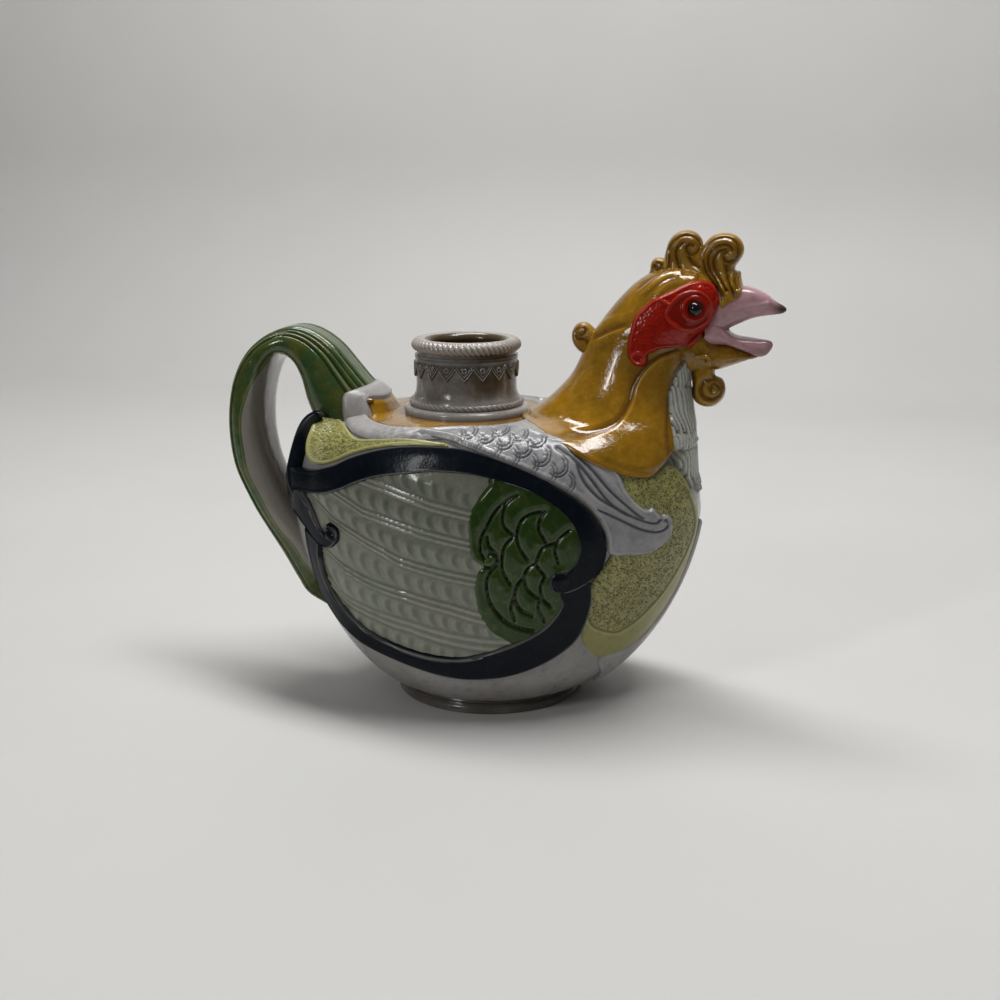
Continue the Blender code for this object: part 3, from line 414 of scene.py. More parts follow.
neckForm = {                                  # height, rear, front and half width of each section
    "blunt": 0.35, "browFrom": (178, 188), "browTo": (210, 203), "steps": 400,
    "sections": [
        (95.6, 16, 84, 44), (110.4, 11, 95, 46.5), (122.2, 11, 99, 46.5), (131.1, 13, 100, 43),
        (137.8, 16, 99.8, 38), (143.7, 22, 98.8, 31.5), (151.1, 31, 97.6, 26.3), (160.7, 40, 96.5, 22.8),
        (171.8, 45.5, 97, 21), (180.7, 50, 101, 20.5), (188.8, 55.5, 107, 20.2), (197, 62, 110, 19),
        (205.1, 70, 108.5, 15.5), (211, 79, 102.5, 9.5), (214, 88, 93, 1.5)]}
neckLine = curveThrough(neckForm["sections"], neckForm["steps"])


def neckAt(turn, share):                      # round behind, with a blunt brow in front
    form = neckForm
    spot = share * (form["steps"] - 1)
    z, rear, front, half = (np.interp(spot, np.arange(form["steps"]), axis) for axis in neckLine.T)
    across = np.cos(turn)
    fuller = np.abs(across) ** (1 - form["blunt"] * fade(z, *form["browFrom"]) * fade(z, *form["browTo"]))
    across = np.where(across > 0, fuller, across)
    return np.column_stack([(rear + front) / 2 + (front - rear) / 2 * across, half * np.sin(turn), z])


class Ground:                                 # a closed form that rays can be cast at
    def __init__(self, bm):
        self.bm = bm
        bmesh.ops.recalc_face_normals(bm, faces=bm.faces)
        bm.normal_update()
        bm.faces.ensure_lookup_table()
        self.tree = BVHTree.FromBMesh(bm)

    def reach(self, rays):
        found = [self.tree.ray_cast(start, way)[3] for start, way in rays]
        return np.array([0.0 if far is None else far for far in found])

    def hit(self, start, way):
        spot, normal, index, reach = self.tree.ray_cast(start, way)
        if spot is None:
            return None
        corners = self.bm.faces[index].verts
        weights = poly_3d_calc([corner.co for corner in corners], spot)
        normal = sum((corner.normal * weight for corner, weight in zip(corners, weights)), Vector())
        return spot, normal.normalized(), reach


bodyGround = Ground(reshapedSphere(360, 220, lambda turn, share: bodyAt(turn, 2 * share - 1))[0])
neckGround = Ground(reshapedSphere(200, 240, neckAt)[0])
print("Body and neck forms ready")


# Ways of laying a flat drawing on the body
barrelAxis, barrelSize, turretAxis, turretSize = 95, 58, 40, 58
bedDepth = 0.5                                # how deep the back of a panel lies in the clay
skyHeight, farSide = 300, -200                # where rays from above and from the right start


def onBarrel(points):                         # (x, y, z) to (x, arc round a level axis)
    points = np.array(points, float)
    return np.column_stack([points[:, 0], np.arctan2(points[:, 2] - barrelAxis, -points[:, 1]) * barrelSize])


def onTurret(points):                         # (x, y, z) to (arc round an upright axis, z)
    points = np.array(points, float)
    return np.column_stack([np.arctan2(-points[:, 1], points[:, 0] - turretAxis) * turretSize, points[:, 2]])


def flank(*pairs):                            # (x, z) seen from the side, put on the body's right flank
    spots = [bodyGround.hit((x, farSide, z), (0, 1, 0)) for x, z in pairs]
    return [tuple(spot[0]) for spot in spots]


def castBarrel(spots):
    return [((x, 0, barrelAxis), (0, -cos(arc / barrelSize), sin(arc / barrelSize))) for x, arc in spots]


def castTurret(spots):
    return [((turretAxis, 0, z), (cos(arc / turretSize), -sin(arc / turretSize), 0)) for arc, z in spots]


def castDown(spots):
    return [((x, y, skyHeight), (0, 0, -1)) for x, y in spots]


def drape(rays, grounds=(bodyGround,), pick=max):   # the farthest or nearest hit of each ray, with its normal
    found, normals = [], []
    for start, way in rays:
        hits = [ground.hit(start, way) for ground in grounds]
        hits = [hit for hit in hits if hit]
        best = pick(hits, key=lambda hit: hit[2]) if hits else (Vector(start), Vector(way), 0)
        found.append(best[0][:])
        normals.append(best[1][:])
    return np.array(found), np.array(normals)


# Body shell: outside up to the filler, down the bore and over the inner wall
def makeBody():
    look = {"outer": 150, "ledge": 3, "bore": 8, "inner": 36, "turns": 200,
            "low": (26, 8), "lowTint": 0.35, "lowPool": 0.15, "insideShade": 0.9}
    total = look["outer"] + look["bore"] + look["inner"]

    def shape(turn, share):
        row = np.rint(share * (total - 1))
        points = bodyAt(turn, np.clip(2 * row / (look["outer"] - 1) - 1, -1, 1))
        toBore = np.clip((row - look["outer"] + 1) / look["ledge"], 0, 1)[:, None]
        bore = np.column_stack([bodyForm["collarX"] + bodyForm["bore"] * np.cos(turn),
                                bodyForm["bore"] * np.sin(turn), np.full(len(turn), bodyForm["top"])])
        points = points + (bore - points) * toBore
        down = np.clip((row - look["outer"] - look["ledge"]) / look["bore"], 0, 1)
        points[:, 2] -= down * bodyForm["wall"]
        inside = row >= look["outer"] + look["bore"]
        back = 1 - 2 * (row - look["outer"] - look["bore"]) / (look["inner"] - 1)
        shrink, middle = 1 - bodyForm["wall"] / np.array(bodyForm["reach"]), (0, 0, bodyForm["middle"])
        inner = (bodyAt(turn, np.clip(back, -1, 1)) - middle) * shrink + middle
        points[inside] = inner[inside]
        return points

    bm, turn, share = reshapedSphere(look["turns"], total, shape)
    row = share * (total - 1)
    low = fade(coords(bm)[:, 2], *look["low"]) * (row < look["outer"])
    inside = row >= look["outer"] + look["ledge"] + 1
    # painted shade: the bore and the inner wall are coloured dark, as the inside of the vessel lies in shade
    paint(bm, tint=np.where(row >= look["outer"], look["insideShade"], look["lowTint"] * low),
          pool=np.where(inside, look["insideShade"], look["lowPool"] * low))
    finishPiece("body_shell", bm, greyGlaze, ["body_right", "body_left"])


makeBody()


# Neck and cape: one ochre skin from the crown down to the hem that lies on the shoulders
capeForm = {
    "heart": (50, 0, 118), "crown": (90, 0, 214), "hem": 3.5, "blend": 5,
    "edge": [(98, 0, 130), (94, -13, 130), (89.5, -22.5, 129.5), (86.5, -27, 125.5), (82.5, -31, 121),
             (78, -35, 119), (68, -39.5, 121), (55, -43, 126), (44, -41, 132), (33, -36, 138),
             (24, -26, 140.5), (17, -15, 142), (15, 0, 142)],
    "fold": [(94, 175.4), (84.2, 172.4), (77.6, 166.8), (73.3, 159.7), (71.2, 150.8), (65.9, 142.8),
             (54.5, 138.6), (40, 137.6)],
    "crease": [(48.4, 177.6), (60.2, 184.3), (71.2, 188.4)],
    "brows": [[(73.7, 201.3), (79.3, 205.9), (85, 209.5), (91.2, 210.7)],
              [(81, 201.6), (85.4, 205.6), (91, 207.9), (98.1, 209)]],
    "bibEdge": [(99.5, 175.5), (94, 170.4), (90, 163.7), (88, 154.7), (88, 143), (89, 134), (91.6, 124.7)],
    "foldHigh": 1.7, "foldDeep": 0.9, "foldDark": 0.75, "foldHighlight": 0.45,
    "creaseHigh": 0.7, "creaseDeep": 0.9, "creaseDark": 0.6,
    "browHigh": (1.0, 0.8), "browDark": 0.5, "browWorn": 0.35, "bibStep": 1.5, "bibEdgeShadow": 0.6,
    "uneven": 0.2, "lipFrom": 0.975, "lipShare": 0.025, "lipRows": 10, "turns": 260, "rows": 210}
heart = Vector(capeForm["heart"])
upWay = (Vector(capeForm["crown"]) - heart).normalized()
sideWay = Vector((0, -1, 0))
frontWay = upWay.cross(sideWay)
if frontWay.x < 0:
    frontWay = -frontWay


def domeAngles(points):                       # turn about the neck's own axis and tilt from it
    away = np.array(points, float) - np.array(heart)
    away /= np.linalg.norm(away, axis=1)[:, None]
    turn = np.arctan2(away @ np.array(sideWay), away @ np.array(frontWay))
    return turn, np.arccos(np.clip(away @ np.array(upWay), -1, 1))


def castDome(turn, tilt):
    ways = [upWay * cos(t) + (frontWay * cos(a) + sideWay * sin(a)) * sin(t) for a, t in zip(turn, tilt)]
    return [(heart, way) for way in ways]


def capeRelief(points):                       # folds in the ochre skin: height, dark hollows, worn edges
    look = capeForm
    flat, aside = points[:, [0, 2]], fade(np.abs(points[:, 1]), 2, 7)
    gap, along, side = nearLine(flat, curveThrough(look["fold"], 60))
    off = gap * np.where(side > 0, 1, -1)
    shown = fade(along, 0, 0.08) * fade(along, 1, 0.86) * aside
    swell, groove = fade(off, -0.4, 1.2) * fade(off, 18, 5), ridge(off + 1.1, 2.0)
    height = shown * (look["foldHigh"] * swell - look["foldDeep"] * groove)
    pool = look["foldDark"] * shown * ridge(off + 0.8, 1.4)
    # painted highlight: a pale line along the lappet's raised edge, where it catches the light
    edge = look["foldHighlight"] * shown * ridge(off - 1.3, 1.0)
    gap, along, side = nearLine(flat, curveThrough(look["crease"], 30))
    shown = fade(along, 0, 0.25) * fade(along, 1, 0.75) * aside
    height += shown * (look["creaseHigh"] * ridge(gap - 3.2, 2.6) - look["creaseDeep"] * ridge(gap, 1.8))
    pool = np.maximum(pool, look["creaseDark"] * shown * ridge(gap, 1.4))
    for lift, line in zip(look["browHigh"], look["brows"]):
        gap, along, side = nearLine(flat, curveThrough(line, 30))
        height += lift * ridge(gap, 2.0) * aside
        pool = np.maximum(pool, look["browDark"] * ridge(gap - 2.3, 0.9) * aside * fade(along, 0, 0.1))
        edge = np.maximum(edge, look["browWorn"] * ridge(gap, 1.0) * aside)
    gap, along, side = nearLine(flat, curveThrough(look["bibEdge"], 50))
    off = gap * np.where(side > 0, -1, 1)
    shown = fade(along, 0, 0.1) * aside
    height += look["bibStep"] * shown * fade(off, 0, 0.9) * fade(off, 14, 4)
    # painted shadow: a dark line at the foot of the cape's crisp edge, where it shades the bib
    pool = np.maximum(pool, look["bibEdgeShadow"] * shown * ridge(off + 0.3, 0.9))
    return height + look["uneven"] * grain(points, 26, 7), pool, edge


def makeCape():
    look = capeForm
    edgeTurn, edgeTilt = domeAngles(curveThrough(look["edge"], 80))

    def shape(turn, share):
        row = share * (look["rows"] - 1)
        outer = look["rows"] - 1 - look["lipRows"]
        t = np.clip(row / outer, 0, 1)
        hem = np.interp(np.abs(turn), np.maximum.accumulate(edgeTurn), edgeTilt)
        tilt = hem * (0.004 + 0.996 * t)      # the crown's pole stays just off the axis
        lip = np.clip((t - look["lipFrom"]) / look["lipShare"], 0, 1)
        lift = look["hem"] * np.sqrt(np.clip(1 - lip ** 2, 0, 1)) - bedDepth * (t >= 1)
        rays = castDome(turn, tilt)
        ways = np.array([way[:] for start, way in rays])
        neck, body = neckGround.reach(rays), bodyGround.reach(rays) + lift
        fillet = look["blend"] * fade(t, 0.995, 0.9)
        reach = np.where(fillet > 0.01, softMax(neck, body, fillet + 0.01), np.maximum(neck, body))
        relief = capeRelief(np.array(heart) + ways * reach[:, None])[0]
        reach += relief * fade(t, 1, 0.96) * fade(t, 0, 0.05)
        under = np.clip((row - outer) / look["lipRows"], 0, 1)
        reach *= 1 - 0.5 * under              # the lip's back runs half way in to the heart
        return np.array(heart) + ways * reach[:, None]

    bm = reshapedSphere(look["turns"], look["rows"], shape)[0]
    pool, edge = capeRelief(coords(bm))[1:]
    paint(bm, pool=pool, edge=edge)
    ground = Ground(bm.copy())
    finishPiece("neck_cape", bm, ochreGlaze, ["neck_spout"])
    return ground


capeGround = makeCape()
print("Body and neck made")


# Panels cut to an outline, with relief on top and a flat back in the clay
def outlinePatch(outline, step):              # grid cut to a closed outline: mesh, places, distances to it
    low, high = outline.min(axis=0) - step, outline.max(axis=0) + step
    counts = np.ceil((high - low) / step).astype(int)
    bm, flat = gridPatch(int(counts[0]), int(counts[1]))
    flat = low + flat * (high - low)
    setCoords(bm, np.column_stack([flat, np.zeros(len(flat))]))
    ring = np.vstack([outline, outline[:1]])
    keep = insideOutline(flat, outline) & (nearLine(flat, ring)[0] > step * 0.35)
    bmesh.ops.delete(bm, geom=[vert for vert, kept in zip(bm.verts, keep) if not kept], context="VERTS")
    for trim in range(3):                     # single cells that hang on by a corner or an edge
        loose = [face for face in bm.faces if sum(edge.is_boundary for edge in face.edges) > 2]
        bmesh.ops.delete(bm, geom=loose, context="FACES")
        pinched = [v for v in bm.verts if sum(e.is_boundary for e in v.link_edges) > 2 or not v.link_faces]
        bmesh.ops.delete(bm, geom=pinched, context="VERTS")
    flat = coords(bm)[:, :2]
    rim = np.array([vert.is_boundary for vert in bm.verts])
    dense = np.vstack([ring[:-1] + (ring[1:] - ring[:-1]) * k / 4 for k in range(4)])
    for k in np.flatnonzero(rim):             # the outermost spots move on to the outline
        flat[k] = dense[np.argmin(((dense - flat[k]) ** 2).sum(axis=1))]
    return bm, flat, nearLine(flat, ring)[0]


def raisePanel(bm, rays, height, grounds=(bodyGround,), pick=max):   # the top at that height above the clay
    ground, normals = drape(rays, grounds, pick)
    return raiseOn(bm, ground, normals, height, -bedDepth)


def raiseOn(bm, ground, normals, height, base):
    back = ground + normals * np.broadcast_to(base, len(ground))[:, None]
    setCoords(bm, ground + normals * np.asarray(height)[:, None])
    below = {tuple(np.round(vert.co[:], 4)): spot for vert, spot in zip(bm.verts, back)}
    made = bmesh.ops.extrude_face_region(bm, geom=bm.faces[:], use_keep_orig=True)
    for vert in [item for item in made["geom"] if isinstance(item, bmesh.types.BMVert)]:
        vert.co = below[tuple(np.round(vert.co[:], 4))]
    return bm


def ribbon(left, right, count, across):       # strip between two drawn edges: its shares, places and widths
    bm, flat = gridPatch(count, across)
    along = flat[:, 0] * count
    lines, steps = [curveThrough(edge, count + 1) for edge in (left, right)], np.arange(count + 1)
    a, b = (np.column_stack([np.interp(along, steps, axis) for axis in line.T]) for line in lines)
    return bm, flat, a + (b - a) * flat[:, 1:], np.linalg.norm(b - a, axis=1)


def stipple(points, scale, seed=0.0):         # worm-like ridges
    sharp = 2.6
    shift = Vector((seed, 0, 0))
    return np.array([1 - abs(noise.noise(Vector(point) / scale + shift)) * sharp for point in points])


# Turned work
def turned(profile, centreX, steps):          # closed profile of (radius, height), spun about an upright axis
    bm = newMesh()
    ring = [bm.verts.new((radius, 0, height)) for radius, height in profile]
    edges = [bm.edges.new((a, b)) for a, b in zip(ring, ring[1:] + ring[:1])]
    bmesh.ops.spin(bm, geom=ring + edges, cent=(0, 0, 0), axis=(0, 0, 1), angle=2 * pi, steps=steps,
                   use_merge=True)
    bmesh.ops.remove_doubles(bm, verts=bm.verts, dist=0.001)
    bmesh.ops.translate(bm, verts=bm.verts, vec=(centreX, 0, 0))
    return bm


ropeForm = {"sides": 22, "perStrand": 8, "round": 0.7, "dark": 0.9, "worn": 0.5, "topWorn": 0.35}


def roped(look, centreX):                     # ring moulded as a twisted rope
    form = ropeForm
    middle, level, strands, deep = look["middle"], look["level"], look["strands"], look["depth"]
    out, up = look["thick"]
    sides = [2 * pi * k / form["sides"] for k in range(form["sides"])]
    profile = [(middle + out * cos(side), level + up * sin(side)) for side in sides]
    bm = turned(profile, centreX, strands * form["perStrand"])
    at = coords(bm) - (centreX, 0, 0)
    around, radius = np.arctan2(at[:, 1], at[:, 0]), np.hypot(at[:, 0], at[:, 1])
    side = np.arctan2((at[:, 2] - level) / up, (radius - middle) / out)
    strand = np.abs(np.sin((around * strands + side * look["lean"]) / 2))
    shows = fade(np.cos(side - look["towards"]), *look["shown"])
    dip = deep * (1 - strand ** form["round"]) * shows
    radius, height = radius - dip * np.cos(side), at[:, 2] - dip * np.sin(side)
    setCoords(bm, np.column_stack([centreX + radius * np.cos(around), radius * np.sin(around), height]))
    worn = form["worn"] * fade(strand, 0.75, 1) * shows + form["topWorn"] * fade(np.sin(side), 0.5, 1)
    paint(bm, pool=form["dark"] * fade(strand, 0.45, 0.0) * shows, edge=worn)
    return bm


# Lofts, bars and balls
lineSteps = 300                               # spots on the line that a loft or a bar follows
barForm = {"cap": 0.05, "worn": 0.35, "dark": 0.5}   # the cap is the share of the length that rounds off


def lofted(sections, rings, turns, square=1.0):   # (x, low, high, half width) sections joined along X
    line = curveThrough(sections, lineSteps)

    def shape(turn, share):
        spot = share * (lineSteps - 1)
        x, low, high, half = (np.interp(spot, np.arange(lineSteps), axis) for axis in line.T)
        across, up = bulged(np.cos(turn), square), bulged(np.sin(turn), square)
        return np.column_stack([x, half * across, (low + high) / 2 + (high - low) / 2 * up])
    return reshapedSphere(turns, rings, shape)


def tube(path, thick, wide, rings=70, turns=24, square=0.75):   # round-ended bar in the middle plane
    line = curveThrough(path, lineSteps)
    ahead = np.gradient(line, axis=0)
    ahead /= np.linalg.norm(ahead, axis=1)[:, None]
    cap = barForm["cap"]

    def shape(turn, share):
        here, way = onLine(line, share), onLine(ahead, share)
        size = np.interp(share, np.linspace(0, 1, len(thick)), thick)
        breadth = np.interp(share, np.linspace(0, 1, len(wide)), wide)
        past = np.clip(np.maximum(cap - share, share - (1 - cap)) / cap, 0, 1)
        end = np.sqrt(np.clip(1 - past ** 2, 0.001, 1))
        across, aside = bulged(np.cos(turn), square), bulged(np.sin(turn), square)
        spot = here + np.column_stack([way[:, 1], -way[:, 0]]) * (size * across * end)[:, None]
        return np.column_stack([spot[:, 0], breadth * aside * end, spot[:, 1]])
    bm, turn, share = reshapedSphere(turns, rings, shape)
    worn, dark = fade(np.abs(np.sin(turn)), 0.5, 0.95), fade(np.abs(np.cos(turn)), 0.75, 1.0)
    paint(bm, edge=barForm["worn"] * worn, pool=barForm["dark"] * dark)
    return bm


def ball(centre, radii, turns=24, rings=14):
    def shape(turn, share):
        low = (share * 0.96 + 0.02) * pi      # the first and last rings lie just off the poles
        out = np.sin(low)
        away = np.column_stack([np.cos(turn) * out, np.sin(turn) * out, -np.cos(low)])
        return np.array(centre) + away * radii
    return reshapedSphere(turns, rings, shape)[0]


# Wing: feather field, scales and the navy frame
wingLook = {
    "step": 0.62, "plate": 0.9, "pitch": 7.2, "bow": 6.5, "lean": 2.5, "feather": 0.4, "cord": 0.5,
    "lastRow": 13, "rowShift": 2.7, "uneven": 0.9, "crest": 0.8, "featherDark": 0.55, "featherWorn": 0.35,
    "cordOff": 1.15, "cordHalf": 0.65, "cordWorn": 0.6, "cordDark": 0.5, "rowSlope": 0.94, "underScales": 0.1,
    "rows": [
        [(-44.5, 115), (-30, 111), (-15, 107), (1, 104)],
        [(-64, 107), (-50.5, 101), (-34.5, 97), (-19, 93.5), (3, 89.5)],
        [(-79, 102), (-67, 94), (-49, 86.5), (-31, 79), (-11, 75), (4.5, 72.5)],
        [(-72, 77), (-62, 71), (-47.5, 66), (-27, 62), (-7.5, 58), (6, 54.5)],
        [(-73, 62.5), (-62, 54), (-47, 50), (-27.5, 46.5), (-6, 42), (16, 40)]],
    "topOuter": [(-89, -28, 115), (-80, -37, 116.5), (-66, -45, 121), (-55.5, -48.5, 126),
                 (-43.5, -51.5, 130), (-30, -53.5, 132.5), (-15, -55.3, 133.3), (0, -56, 132.5),
                 (15, -57, 129), (29.5, -57.5, 124), (41, -56.5, 118), (52, -54, 111), (58.5, -52, 104),
                 (63, -50, 95.5), (64.5, -49.3, 86), (62, -50.2, 77.5), (56.5, -52, 71.5), (47.5, -54.5, 67),
                 (41, -56, 68), (39, -56.6, 73.5), (41, -56.6, 78.5)],
    "topInner": [(-88, -30.5, 104.3), (-80, -38.5, 104.7), (-71.5, -44.5, 106), (-62, -49.5, 109.5),
                 (-53, -53, 114), (-42, -56, 118), (-28, -58.5, 120.5), (-14, -60, 122.5), (2.5, -61, 122.5),
                 (17, -60, 119.5), (30, -59, 115.5), (42, -57, 108.5), (48.5, -56, 101.5), (52, -55, 93),
                 (52, -55, 87), (50, -55.5, 80.5), (46.5, -56, 76.5), (44.5, -56.2, 75), (43.5, -56.3, 75.5),
                 (43.6, -56.3, 76.5)],
    "lowOuter": [(55, 77), (57.5, 70), (57.5, 60), (53, 46.5), (45, 37), (30.5, 28), (11, 22), (-9, 21),
                 (-26, 24), (-42, 28.5), (-57, 33.5), (-68.5, 41.5), (-75, 50), (-79.5, 59), (-82, 68.5),
                 (-83.5, 77.5), (-84.5, 87)],
    "lowInner": [(42, 72), (43, 66.5), (43.5, 61), (36, 51), (21, 42), (1, 34.5), (-15, 33.5), (-37, 37),
                 (-50, 41), (-56, 44.5), (-62.5, 50), (-68.5, 56.5), (-72.5, 64.5), (-74, 72.5), (-73.5, 80)],
    "spurOuter": [(-96.5, -17.5, 109), (-95.5, -20, 102), (-91.5, -27, 95.5), (-87, -32, 91),
                  (-83.5, -35, 87.5), (-79.5, -38, 83), (-75, -41.5, 79.8), (-69.5, -45, 79.5),
                  (-65, -48, 82.5), (-63, -48.8, 88.5), (-65.5, -47.8, 92.5), (-69, -46, 93)],
    "spurInner": [(-86, -33, 108), (-83, -35.5, 103.5), (-79, -39, 98.5), (-76.3, -41.2, 94),
                  (-74, -42.8, 90), (-72.6, -43.7, 87.4), (-71.2, -44.2, 85.6), (-69.3, -45.3, 85.6),
                  (-68.3, -46.3, 87), (-68.6, -46.1, 88.5), (-69, -46, 89)],
    "horn": [(-85, 97), (-89, 101), (-92, 106.5), (-92.6, 112), (-91.6, 118), (-89.9, 125), (-87.8, 131.9),
             (-85.2, 137), (-82.2, 139.8), (-79.4, 140.3), (-78.3, 139.5)],
    "hornThick": (4.2, 4.6, 4.5, 4.2, 3.7, 2.4), "hornWide": (7, 7.5, 6.5, 5.2, 4, 2.6), "hornSide": -25,
    "hornMesh": (110, 32), "hornTipX": (-81, -78.5), "hornTipZ": (139, 141), "hornTipWorn": 0.35,
    "hornLine": -3.6, "hornLineWorn": 0.3,
    "frame": 3.0, "frameAcross": 16, "frameRound": 1.5, "frameBead": 0.3, "frameWorn": 0.8,
    "tailRamp": (-78, -91), "beadLift": 1.2, "beadDome": 2.9, "beadWorn": 0.4,
    "beads": [((43.6, -56.3, 73.4), 5.0), ((-67.2, -46.8, 86.6), 3.9)]}


def wingRow(line, x):                         # arc of a drawn row at x, carried on straight past its ends
    arcs = onBarrel(flank(*line))
    ends = arcs[[0, 1, -2, -1]]
    first, last = ends[1] - ends[0], ends[3] - ends[2]
    inner = np.interp(x, arcs[:, 0], arcs[:, 1])
    inner = np.where(x < ends[0, 0], ends[0, 1] + (x - ends[0, 0]) * first[1] / first[0], inner)
    return np.where(x > ends[3, 0], ends[3, 1] + (x - ends[3, 0]) * last[1] / last[0], inner)


def midEdge(a, b, count):
    return (curveThrough(a, count) + curveThrough(b, count)) / 2


def makeFeathers():
    look = wingLook
    top = midEdge(onBarrel(look["topOuter"][:16]), onBarrel(look["topInner"][:16]), 70)
    low = midEdge(onBarrel(flank(*look["lowOuter"])), onBarrel(flank(*look["lowInner"])), 90)
    bm, flat, rim = outlinePatch(np.vstack([top, low]), look["step"])
    x, arc = flat.T
    rows = [wingRow(line, x) for line in look["rows"]]
    edges = [rows[0] + look["lastRow"]] + rows + [rows[-1] - look["lastRow"]]
    covered = insideOutline(flat, scaleEdge()) * fade(nearLine(flat, scaleEdge())[0], 0.8, 2.0)
    height = np.full(len(x), look["plate"])
    pool, edge = np.zeros(len(x)), np.zeros(len(x))
    uneven = look["uneven"] * grain(flat, 22, 3)
    crest = look["crest"]
    for k, (above, below) in enumerate(zip(edges, edges[1:])):
        t = (above - arc) / (above - below)
        here = (t >= 0) & (t < 1)
        bowed = x + look["bow"] * (1 - (2 * t - 1) ** 2) - look["lean"] * (t - 0.5)
        bowed = bowed + look["rowShift"] * k + uneven
        phase = (bowed / look["pitch"]) % 1
        inRow = fade(np.minimum(t, 1 - t), 0.14, 0.42) * fade(rim, 1, 5)
        fold = np.where(phase > crest, fade(phase, 1.0, crest), phase / crest)
        valley = ridge(phase - 0.1, 0.26) + ridge(phase - 1.1, 0.26)
        height = np.where(here, height + look["feather"] * fold * inRow, height)
        pool = np.where(here, look["featherDark"] * valley * inRow, pool)
        edge = np.where(here, look["featherWorn"] * ridge(phase - 0.72, 0.22) * inRow, edge)
    for row in rows:
        gap = np.abs(arc - row) * look["rowSlope"]   # the rows slope, so the true distance is less
        cords = ridge(gap - look["cordOff"], look["cordHalf"])
        height += look["cord"] * cords
        edge = np.maximum(edge, look["cordWorn"] * cords)
        pool = np.maximum(pool, look["cordDark"] * np.maximum(ridge(gap, 0.6), ridge(gap - 2.3, 0.7)))
    paint(bm, pool=pool, edge=edge)
    raisePanel(bm, castBarrel(flat), height + (look["underScales"] - height) * covered)
    bothSides("wing_feathers", bm, celadonGlaze, "wing_plate")


scaleLook = {
    "step": 0.62, "lift": 1.5, "dome": 0.75, "groove": 1.0, "edgeDrop": 0.9, "edgeRound": 1.8,
    "grooveDark": 0.9, "edgeDark": 0.4, "worn": 0.4,
    "upperLobe": [(11, 118), (5, 110), (2, 101), (2, 93), (3.5, 84), (8, 80)],
    "lowerLobe": [(7, 79), (4.5, 70.5), (5, 62.5), (7.5, 54), (13, 46), (20, 41.5), (22, 38)],
    "underFrame": [(34, 44), (44, 54), (50, 64), (50, 74), (56, 84), (57, 95), (52, 106), (42, 114),
                   (26, 121), (12, 124)],
    "grooves": [
        [(24.5, 114), (19.5, 111), (14.5, 106), (11, 99.5), (8, 93), (8, 87), (10, 83)],
        [(15.5, 81), (11.5, 76), (10.5, 70), (11.5, 64), (14.5, 58), (20, 52), (27, 49), (31.5, 48)],
        [(23.5, 113.5), (19.5, 110), (18, 104), (19, 99), (23.5, 95)],
        [(35.5, 106.5), (30, 105), (26, 101.5), (24.5, 95), (26, 89), (29.5, 83.5)],
        [(37, 106.5), (34.5, 102), (34.5, 97.5), (37.5, 92)],
        [(23.5, 95), (19, 90), (18, 85), (18, 78.5), (21.5, 71.5)],
        [(42.5, 92), (36.5, 89.5), (34, 85), (33.5, 81), (37, 76)],
        [(48, 97.5), (44, 94), (41.5, 89), (43, 82)],
        [(32, 81.5), (28.5, 78), (28, 72.5), (30.5, 67.5), (34.5, 64.5)],
        [(27.5, 75), (24.5, 71), (23.5, 65.5), (25.5, 59.5), (31, 56)],
        [(22.5, 64.5), (21.5, 59.5), (23, 54)],
        [(37, 75.5), (35, 70.5), (36, 64.5), (39.5, 60.5)],
        [(34.5, 63.5), (34, 59), (36.5, 53.5)],
        [(11, 94.5), (12, 90), (15.5, 86), (16, 83)],
        [(8, 80), (12.5, 79.5), (14.5, 81), (15.5, 84.5), (12.5, 87), (12, 85.5)]]}


def scaleEdge():
    edges = [onBarrel(flank(*scaleLook[key])) for key in ("upperLobe", "lowerLobe", "underFrame")]
    return np.vstack([curveThrough(edge, count) for edge, count in zip(edges, (40, 40, 50))])


def makeScales():
    look = scaleLook
    bm, flat, rim = outlinePatch(scaleEdge(), look["step"])
    gap = nearestOf(flat, [curveThrough(onBarrel(flank(*line)), 26) for line in look["grooves"]])
    dome = fade(np.minimum(gap, rim + 0.6), 0.6, 4.0)
    height = look["lift"] - look["edgeDrop"] * (1 - fade(rim, 0, look["edgeRound"])) + look["dome"] * dome
    height -= look["groove"] * (1 - fade(gap, 0.2, 0.95))
    pool = look["grooveDark"] * (1 - fade(gap, 0.25, 0.85))
    pool = np.maximum(pool, look["edgeDark"] * (1 - fade(rim, 0, 1)))
    edge = np.maximum(look["worn"] * ridge(gap - 1.35, 0.6), look["worn"] * ridge(rim - 1.3, 0.7))
    paint(bm, pool=pool, edge=edge)
    raisePanel(bm, castBarrel(flat), height)
    bothSides("wing_scale_patch", bm, leafGlaze, "wing_scales")


def joinInto(whole, bm):                      # adds one bmesh to another, paint included
    mesh = bpy.data.meshes.new("part")
    bm.to_mesh(mesh)
    bm.free()
    whole.from_mesh(mesh)
    bpy.data.meshes.remove(mesh)


